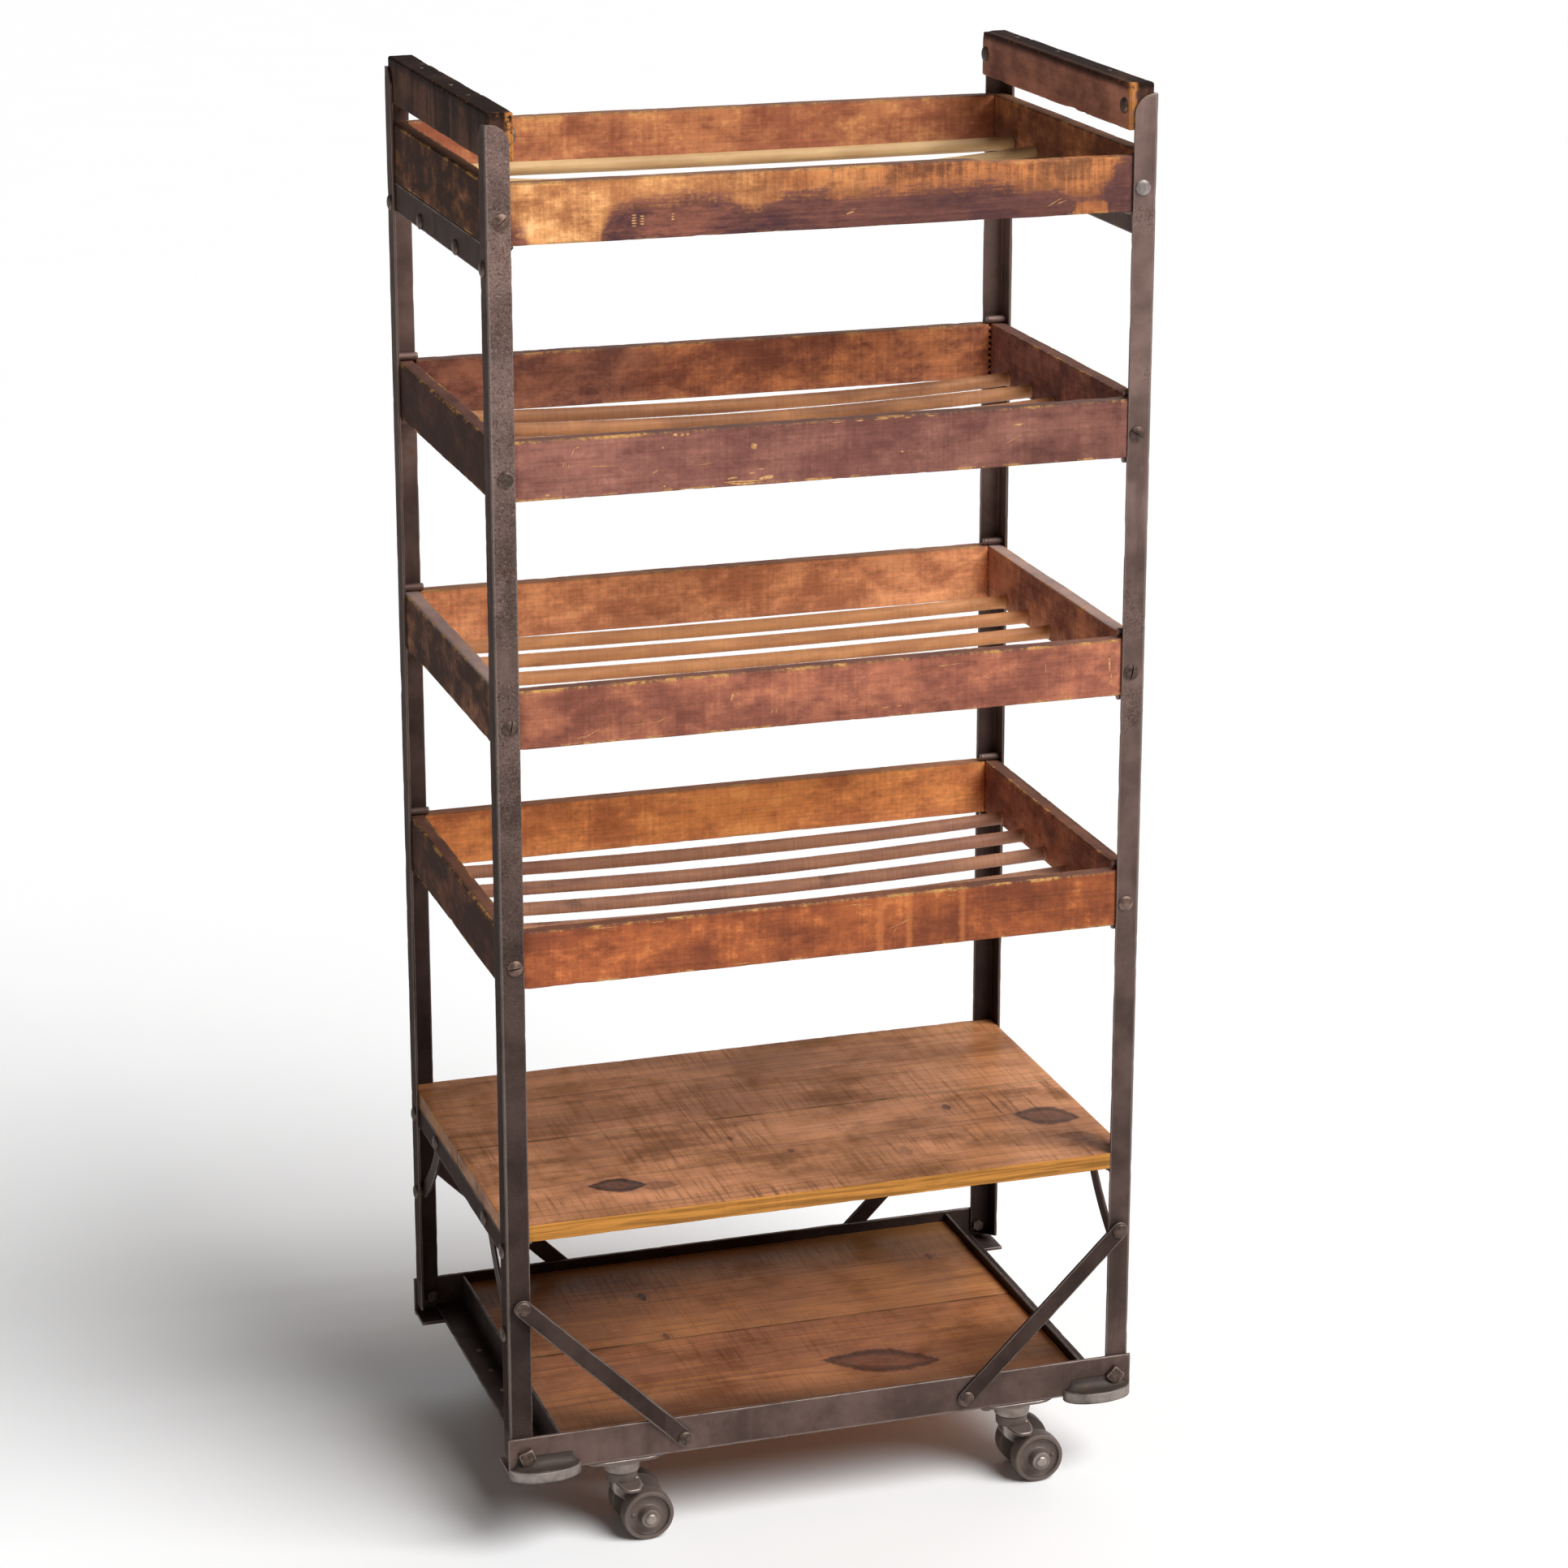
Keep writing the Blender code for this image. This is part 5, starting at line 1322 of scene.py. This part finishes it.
def dowel(y, z, sag, ribbed, seed):
    """Rod across a tray, bent by its load along a parabola, with uneven ribs and a thicker end collar."""
    reach = INNER_X - BOARD
    rings = bar(circle((y, z), DOWEL_RADIUS, 28), -reach, reach, "YZX", 0.0004, 0.0012 if ribbed else 0.005)
    points = rings.points
    x = points[..., 0]
    line = np.stack([x, 0 * x, 0 * x], axis=-1)
    ribs = lattice_noise(line, 0.0021, seed) * (0.00013 if ribbed else 0.0)
    lumps = 0.00018 * lattice_noise(points, 0.045, seed + 1)
    collar = 0.0004 * (np.abs(x) > reach - 0.003)
    rings = moved(rings, ribs + lumps + collar)
    lean = 0.15 * lattice_noise(line, 0.35, seed + 2)
    rings.points[..., 2] -= sag * (1 - (x / reach) ** 2) * (1 + lean)
    return skin(rings)


DOWEL_PALE = dowel_wood("pale_dowel", (0.70, 0.455, 0.215), (0.54, 0.325, 0.145), 0.0)
DOWEL_BROWN = {
    2: dowel_wood("ribbed_dowel_2", (0.60, 0.275, 0.115), (0.38, 0.160, 0.070), 0.7),
    3: dowel_wood("ribbed_dowel_3", (0.76, 0.350, 0.140), (0.54, 0.230, 0.090), 0.5),
    4: dowel_wood("ribbed_dowel_4", (0.46, 0.220, 0.120), (0.30, 0.135, 0.085), 1.0),
}


def top_tray_angle(side, x):
    """Angle under a side of the top tray, with round heads on its upright leg."""
    node = f"top_tray_angle_{side}"
    top = tray_span(1)[0] - SEAT
    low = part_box(node)[0].z
    section = ell((x * INNER_X, top), -x * ANGLE_LEG, low - top, ANGLE_WALL, ANGLE_RADII, 0.005)
    rings = steel_wear(bar(section, -INNER_Y, INNER_Y, "XZY", 0.0006, 0.007), 201 + x)
    spots = [y * TOP_ANGLE_BOLT_SPREAD / 2 for y in ENDS.values()]
    heads = [set_on(ROUND_HEAD, (x * INNER_X, y, top - TOP_ANGLE_BOLT_DROP), (x, 0, 0)) for y in spots]
    piece(f"tray_bearer_{side}", skin(rings), SOOTY_SHADED_STEEL, [node])
    piece(f"tray_bearer_bolts_{side}", joined(*heads), SCREW_BROWN, [node])


def shelf_angle(side, x):
    """Angle under an end of the shelf, its curved knee straps and their bolts."""
    node = f"shelf_angle_{side}"
    top = SHELF_LOW - SEAT
    section = ell((x * INNER_X, top), -x * ANGLE_LEG, -ANGLE_LEG, ANGLE_WALL, ANGLE_RADII, 0.005)
    rings = steel_wear(bar(section, -INNER_Y, INNER_Y, "XZY", 0.0006, 0.007), 211 + x)
    piece(f"shelf_bearer_{side}", skin(rings), SOOTY_SHADED_STEEL, [node])
    face = INNER_X - ANGLE_WALL
    straps, heads = [], []
    for y in ENDS.values():
        upper = (y * (FRAME_Y - KNEE_INSET), SHELF_BOLT_Z)
        lower = (y * (FRAME_Y - BOLT_INSET), SHELF_BOLT_Z - KNEE_DROP)
        outline = strap(upper, lower, KNEE_WIDTH, -y * KNEE_BULGE)
        ends = sorted((x * (face - 0.0002), x * (face - KNEE_WALL)))
        straps.append(skin(steel_wear(plate(outline, *ends, "YZX", 0.0007), 215 + y)))
        spacer = circle(lower, HEAD_RADIUS, 24)
        gap = sorted((x * (face - 0.001), x * INNER_X))
        straps.append(skin(bar(spacer, *gap, "YZX", 0.0003, 0.002)))
        heads.append(set_on(ROUND_HEAD, (x * INNER_X, *upper), (x, 0, 0)))
        for spot in (upper, lower):
            heads.append(set_on(ROUND_HEAD, (x * (face - KNEE_WALL), *spot), (-x, 0, 0)))
    piece(f"knee_straps_{side}", joined(*straps), BRACE_STEEL, [node])
    piece(f"knee_bolts_{side}", joined(*heads), SCREW_BROWN, [node])


def plank(name, node, x_end, y_span, z_span, finish, notch, tongue):
    """Plank along X with softened edges, cut back behind the posts where it has a notch.

    A tongue at the middle third of its rear edge closes the seam to the next plank.
    """
    (front, rear), (low, high) = y_span, z_span
    third = (high - low) / 3
    corners = [(front, low), (rear, low), (rear, high), (front, high)]
    radii = [PLANK_ARRIS] * 4
    if tongue:
        tip = rear + tongue
        corners[2:2] = [(rear, low + third), (tip, low + third), (tip, high - third), (rear, high - third)]
        radii[2:2] = [TONGUE_ARRIS] * 4
    outline = rounded(corners, radii, 0.007)
    rings = wood_wear(bar(outline, -x_end, x_end, "YZX", 0.0009, 0.006), 300 + len(name), 0.0003, 0.0010)
    if notch:
        points = rings.points
        behind = np.abs(points[..., 0]) > notch
        kept = np.clip(points[..., 1], -INNER_Y, INNER_Y)
        points[..., 1] = np.where(behind, kept, points[..., 1])
    piece(name, skin(rings), finish, [node])


def plank_pair(place, seam, reach, x_end, z_span, pines, knots, notch=None):
    """A front and a rear plank with a seam between them, each of its own pine."""
    for end, y in ENDS.items():
        name = f"{place}_{end}_pine"
        finish = plank_wood(name, pines[end], knots[end], reach, seam)
        y_span = sorted((y * reach, seam + y * SEAM / 2))
        tongue = TONGUE if y < 0 else None
        plank(name, f"{place}_{end}_plank", x_end, y_span, z_span, finish, notch, tongue)


def planks():
    """The two planks of the shelf and of the deck."""
    gold = (0.58, 0.250, 0.052)
    notch = FRAME_X - POST_LEG - SHELF_NOTCH_PLAY
    pine = Pine((0.58, 0.255, 0.120), (0.310, 0.126, 0.050), gold, 0.70, 0.04, None)
    pines = {"front": pine, "rear": pine._replace(saw=0.40)}
    plank_pair("shelf", SHELF_SEAM_Y, BOARD_FACE, INNER_X, (SHELF_LOW, SHELF_TOP), pines, SHELF_KNOTS, notch)
    # The deck paints a pool of light over its middle and the shelf's shadow over its rear.
    pine = Pine((0.70, 0.310, 0.112), (0.360, 0.148, 0.062), gold, 0.30, 0.03, (-0.01, 0.00, 0.46, 0.18))
    worn = pine._replace(base=(0.54, 0.220, 0.088), deep=(0.270, 0.100, 0.044))
    pines = {"front": worn, "rear": pine._replace(saw=0.12)}
    plank_pair("deck", DECK_SEAM_Y, FRAME_Y, DECK_X, (DECK_LOW, DECK_TOP), pines, DECK_KNOTS)


def brace(corner, x, y):
    """Flat strap from a post to the rail, with its packing and bolt heads."""
    node = f"brace_{corner}"
    top = (x * (FRAME_X - BOLT_INSET), RAIL_LOW + BRACE_HEAD_RISE)
    foot = (x * (FRAME_X - BRACE_FOOT_INSET), RAIL_LOW + BRACE_FOOT_RISE)
    back = RAIL_FACE + SEAT
    outline = strap(top, foot, BRACE_WIDTH, 0.0, 40)
    ends = sorted((y * back, y * (back + BRACE_WALL)))
    rings = steel_wear(plate(outline, *ends, "XZY", 0.0009), 401 + 3 * x + y)
    gap = sorted((y * (back + 0.001), y * FRAME_Y))
    packing = bar(circle(top, HEAD_RADIUS, 24), *gap, "XZY", 0.0002, 0.003)
    piece(f"brace_strap_{corner}", joined(skin(rings), skin(packing)), BRACE_STEEL, [node])
    rivet = dome(HEAD_RADIUS, HEAD_HEIGHT * 0.9)
    heads = [set_on(rivet, (u, y * (back + BRACE_WALL), z), (0, y, 0)) for u, z in (top, foot)]
    piece(f"brace_bolts_{corner}", joined(*heads), SCREW_BROWN, [node])


def bumper(x, y):
    """Half-moon casting: an upright rim, then a hollow curve that sweeps up into the face of the rail.

    Each ring is half an ellipse. Its depth follows the rim's rounded edges and then falls along a
    quarter circle to a few millimetres.
    """
    low = RAIL_LOW - BUMPER_LIP
    high = low + BUMPER_HEIGHT
    turn = np.linspace(0, np.pi / 2, 5)
    heights = np.concatenate([
        low + BUMPER_ROUND * (1 - np.cos(turn)),
        [high - 0.0015, high - 0.0004, high],
        high + BUMPER_SWEEP * (1 - np.cos(turn[1:])),
    ])
    rim = BUMPER_DEPTH - BUMPER_ARRIS
    depths = np.concatenate([
        BUMPER_DEPTH - BUMPER_ROUND * (1 - np.sin(turn)),
        [BUMPER_DEPTH, BUMPER_DEPTH - BUMPER_ARRIS / 3, rim],
        rim - (BUMPER_DEPTH - BUMPER_ROOT) * np.sin(turn[1:]),
    ])
    near = np.concatenate([np.linspace(0.4, 0.9, 5), [1, 1, 0.8], np.linspace(0.2, 0, 4)])
    angle = np.linspace(0, np.pi, 41)
    middle = x * (FRAME_X - BUMPER_INSET)
    half = BUMPER_HALF_LENGTH - (BUMPER_DEPTH - depths[:, None]) * 0.5
    bow_x = middle + half * np.cos(angle)
    bow_y = y * (RAIL_FACE + depths[:, None] * np.sin(angle))
    inside = y * (RAIL_FACE - RAIL_WALL / 2)
    bow_x = np.concatenate([bow_x, bow_x[:, -1:], bow_x[:, :1]], axis=1)
    bow_y = np.concatenate([bow_y, np.full((len(bow_y), 2), inside)], axis=1)
    points = np.stack([bow_x, bow_y, np.broadcast_to(heights[:, None], bow_x.shape)], axis=-1)
    waves = 0.0005 * lattice_noise(points, 0.015, 7 + x)
    points[..., 1] += y * waves * (np.abs(points[..., 1]) > RAIL_FACE)
    return skin(Rings(points, points, np.broadcast_to(near[:, None], bow_x.shape)))


def base_rail(end, y):
    """Front or rear angle of the base, with cast corner bumpers and square bolts."""
    node = f"{end}_rail"
    section = ell((y * RAIL_FACE, RAIL_LOW), -y * RAIL_LEG, RAIL_LEG, RAIL_WALL, RAIL_RADII, 0.005)
    rings = steel_wear(bar(section, -RAIL_X, RAIL_X, "YZX", 0.0008, 0.006), 501 + y)
    piece(f"base_rail_{end}", skin(rings), BASE_STEEL if y < 0 else SHADED_RAIL_STEEL, [node])
    moons = [bumper(x, y) for x in SIDES.values()]
    piece(f"corner_bumpers_{end}", joined(*moons), BUMPER_IRON, [node])
    bolt = square_head(SQUARE_BOLT * SQUARE_BOLT_SHARE, SQUARE_BOLT_HEIGHT)
    nut = turned(smoothed(NUT_PROFILE, 0.0006), 6)
    z = RAIL_LOW + SQUARE_BOLT_RISE
    inside = y * (FRAME_Y - POST_WALL)
    heads, nuts = [], []
    for x in SIDES.values():
        across = x * (FRAME_X - SQUARE_BOLT_INSET)
        heads.append(set_on(bolt, (across, y * RAIL_FACE, z), (0, y, 0), SQUARE_BOLT_SPINS[x]))
        nuts.append(set_on(nut, (across, inside, z), (0, -y, 0), NUT_SPIN))
    piece(f"square_bolts_{end}", joined(*heads, *nuts), SCREW_BROWN, [node])


def side_rail(side, x):
    """Left or right angle of the base: flat leg outward, upright leg beside the deck."""
    node = f"side_rail_{side}"
    low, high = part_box(node)
    inner, outer = sorted((low.x, high.x), key=abs)
    section = ell((inner, low.z), outer - inner, high.z - low.z, SIDE_RAIL_WALL, ANGLE_RADII, 0.005)
    rings = steel_wear(bar(section, low.y, high.y, "XZY", 0.0006, 0.007), 601 + x)
    piece(f"side_angle_{side}", skin(rings), SHADED_RAIL_STEEL, [node])
    if side == "left":
        rivet = dome(0.0036, 0.0014, 0.0004, 0.0004, 20)
        middle, face = (inner + outer) / 2, low.z + SIDE_RAIL_WALL
        heads = [set_on(rivet, (middle, y, face), (0, 0, 1)) for y in RIVET_PLACES]
        piece("side_angle_rivets_left", joined(*heads), SCREW_COPPER, [node])


def caster_plate(corner, x, y):
    """Oblong plate, turned boss and two studs of a caster, cast in one."""
    cx, cy = x * CASTER_X, y * CASTER_Y
    outline = rectangle(
        (cx - PLATE_LENGTH / 2, cy - PLATE_WIDTH / 2),
        (cx + PLATE_LENGTH / 2, cy + PLATE_WIDTH / 2),
        PLATE_WIDTH / 2 - 0.0005,
        0.006,
    )
    oblong = plate(outline, PLATE_LOW, PLATE_LOW + PLATE_THICKNESS, "XYZ", 0.0012)
    root = PLATE_LOW + 0.001
    boss = [(0, BOSS_LOW), (0.0210, BOSS_LOW), (0.0230, PLATE_LOW - 0.004), (0.0262, root), (0, root)]
    boss = turned(smoothed(boss, (0.0014, 0.006, 0.0004)), 48)
    edge = np.where(boss.points[:, 2] < BOSS_LOW + 0.002, 1.0, 0.90)
    boss = boss._replace(points=boss.points + (cx, cy, 0), edge=edge)
    stud = turned(smoothed(STUD_PROFILE, 0.0008), 24)
    spots = [(cx + turn * STUD_OFFSET, cy, PLATE_LOW + 0.0005) for turn in SIDES.values()]
    studs = [set_on(stud, spot, (0, 0, -1)) for spot in spots]
    shape = joined(skin(oblong), boss, *studs)
    piece(f"caster_top_{corner}", shape, CAST_IRON, [f"caster_plate_{corner}"])


def caster_fork(corner, x, y):
    """Horn of a caster: crown, neck, wheel guards and hub, trailing to +X, then its pin and wheels."""
    cx, cy = x * CASTER_X, y * CASTER_Y
    body, node = f"caster_{corner}", f"caster_{corner}_fork"
    stem_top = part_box(node)[1].z
    crown_top = BOSS_LOW - 0.0004
    guard_low = 2 * WHEEL_RADIUS + GUARD_GAP
    guard_top = guard_low + GUARD_WALL
    foot = guard_low + 0.002
    crown = [(0, crown_top), (CROWN_RADIUS, crown_top), (CROWN_RADIUS - 0.0005, foot), (0, foot)]
    crown = turned(smoothed(crown, 0.0015), 48)
    foot = crown_top - 0.001
    stem = turned([(0, stem_top), (STEM_RADIUS, stem_top), (STEM_RADIUS, foot), (0, foot)], 24)
    web = [
        (-0.0145, guard_top + 0.003),
        (-0.0125, guard_low - 0.012),
        (CASTER_TRAIL - 0.0125, AXLE_Z + 0.004),
        (CASTER_TRAIL - 0.0105, AXLE_Z - 0.0122),
        (CASTER_TRAIL + 0.0105, AXLE_Z - 0.0122),
        (CASTER_TRAIL + 0.0122, AXLE_Z + 0.004),
        (CASTER_TRAIL - 0.006, guard_top + 0.003),
    ]
    web = rounded(web, [0.0042, 0.010, 0.006, 0.009, 0.009, 0.006, 0.0042], 0.004)
    neck = bar(web, -NECK_HALF, NECK_HALF, "XZY", 0.0035, 0.004)
    half = WHEEL_SPACING / 2 - WHEEL_WIDTH / 2 - HUB_PLAY
    hub = turned(smoothed([(0, half), (HUB_RADIUS, half), (HUB_RADIUS, -half), (0, -half)], 0.0012), 32)
    hub = set_on(hub, (CASTER_TRAIL, 0, AXLE_Z), (0, 1, 0))
    angle = np.linspace(0, 2 * np.pi, 64, endpoint=False)
    blunt = np.sign(np.cos(angle)) * np.abs(np.cos(angle)) ** GUARD_BLUNTNESS
    lobe = np.stack([GUARD_SHIFT + GUARD_HALF_WIDTH * blunt, GUARD_HALF_LENGTH * np.sin(angle)], axis=1)
    guard = plate(smooth_outline(lobe), guard_low, guard_top, "XYZ", 0.0012)
    guard.points[..., 2] -= GUARD_CURL * np.maximum(np.abs(guard.points[..., 1]) - GUARD_FLAT, 0) ** 2
    shape = joined(crown, stem, skin(neck), hub, skin(guard))
    shape = shape._replace(points=shape.points + (cx, cy, 0))
    piece(f"caster_horn_{corner}", shape, CAST_IRON, [node], body)

    reach = WHEEL_SPACING / 2 + WHEEL_WIDTH / 2 + WHEEL_BOSS + SEAT
    head = [
        (0, reach + 0.002),
        (0.0045, reach + 0.002),
        (PIN_HEAD, reach + 0.0006),
        (PIN_HEAD, reach),
        (PIN_RADIUS, reach),
    ]
    head = smoothed(head, (0.0012, 0.0006, 0.0002))
    pin = np.concatenate([head, head[::-1] * (1, -1)])
    pin = turned(pin, 28, np.abs(pin[:, 1]) > reach)
    pin = set_on(pin, (cx + CASTER_TRAIL, cy, AXLE_Z), (0, 1, 0))
    piece(f"caster_pin_{corner}", pin, CAST_IRON, [f"{body}_axle"], body)
    for end, out in ENDS.items():
        caster_wheel(corner, end, (cx + CASTER_TRAIL, cy + out * WHEEL_SPACING / 2, AXLE_Z), out, x)


def caster_wheel(corner, end, centre, out, x):
    """Cast wheel with a rounded tread, a dished face, a hub boss and one cast nub on the face."""
    half = WHEEL_WIDTH / 2
    profile = [
        (WHEEL_BORE, half + WHEEL_BOSS),
        (0.0110, half + WHEEL_BOSS),
        (0.0125, half - 0.0035),
        (0.0180, half - 0.0050),
        (0.0243, half - 0.0042),
        (0.0252, half - 0.0002),
        (0.0300, half - 0.0004),
        (WHEEL_RADIUS, 0.0035),
        (WHEEL_RADIUS, -0.0035),
        (0.0298, -half + 0.0003),
        (0.0130, -half),
        (WHEEL_BORE, -half),
        (WHEEL_BORE, half + WHEEL_BOSS),
    ]
    radii = (0.0012, 0.003, 0.004, 0.0018, 0.0010, 0.0016, 0.010, 0.010, 0.0016, 0.001, 0.0006)
    rim = smoothed(profile, radii)
    near = np.exp(-np.abs(rim[:, 0] - WHEEL_RIM) / 0.0016) * (rim[:, 1] > 0.004)
    near += 0.8 * (rim[:, 1] > half + WHEEL_BOSS - 0.002)
    nub = set_on(dome(0.0025, 0.0022, 0.0006), (NUB_OFFSET, 0, half - 0.0048), (0, 0, 1))
    shape = joined(turned(rim, 72, np.clip(near, 0, 1)), nub)
    shape = set_on(shape, centre, (0, out, 0), NUB_SPINS[x])
    name = f"{corner}_wheel_{end}"
    piece(f"cast_{name}", shape, CAST_IRON, [f"caster_{name}"], f"wheel_{corner}_{end}")


for corner, x, y in CORNERS:
    steel_post(corner, x, y)
    brace(corner, x, y)
    caster_plate(corner, x, y)
    caster_fork(corner, x, y)
for side, x in SIDES.items():
    wood_handle(side, x)
    top_tray_angle(side, x)
    shelf_angle(side, x)
    side_rail(side, x)
for end, y in ENDS.items():
    base_rail(end, y)
for tray in range(1, 5):
    tray_boards(tray)
    front_scars(tray)
planks()


# Stage

FLOOR_SIZE = 60.0
LIGHTS = [
    # name, azimuth to the right of the front, elevation, strength, apparent width in degrees
    ("key", 40, 47, 3.7, 42),
    ("backdrop", 138, 30, 0.7, 56),
]


def stage():
    """Pale floor, a broad key light from the front right and a bright backdrop over the rear."""
    mesh = bpy.data.meshes.new("floor")
    half = FLOOR_SIZE / 2
    corners = [(-half, -half, 0), (half, -half, 0), (half, half, 0), (-half, half, 0)]
    mesh.from_pydata(corners, [], [(0, 1, 2, 3)])
    floor = bpy.data.objects.new("floor", mesh)
    bpy.context.scene.collection.objects.link(floor)
    paint = Finish("pale_floor")
    grain = paint.noise(paint.where, 3.0, 3)
    shade = paint.mix(grain, (0.93, 0.93, 0.93), (0.95, 0.95, 0.95))
    mesh.materials.append(paint.done(shade, 0.9, grain, bump=0.0001))

    world = bpy.data.worlds.new("studio")
    bpy.context.scene.world = world
    world.use_nodes = True
    world.node_tree.nodes["Background"].inputs["Color"].default_value = (1.0, 1.0, 1.0, 1)
    world.node_tree.nodes["Background"].inputs["Strength"].default_value = 0.11
    for name, azimuth, elevation, energy, width in LIGHTS:
        light = bpy.data.lights.new(name, "SUN")
        light.energy = energy
        light.angle = math.radians(width)
        lamp = bpy.data.objects.new(name, light)
        bpy.context.scene.collection.objects.link(lamp)
        lamp.rotation_euler = (math.radians(90 - elevation), 0, math.radians(azimuth))


def camera():
    """The photograph's viewpoint: in front, to the left and above, with its long lens and its shift."""
    view = bpy.data.cameras.new("viewpoint")
    view.lens = 98.35
    view.sensor_width = 36
    view.shift_x = -0.00566
    view.shift_y = -0.03033
    view.clip_end = 200
    made = bpy.data.objects.new("viewpoint", view)
    bpy.context.scene.collection.objects.link(made)
    made.location = (-1.45255, -4.58421, 2.33511)
    made.rotation_euler = (math.radians(90 - 16.7755), math.radians(-0.05), math.radians(-17.9686))
    bpy.context.scene.camera = made


stage()
camera()
bpy.context.scene.view_settings.view_transform = "Standard"
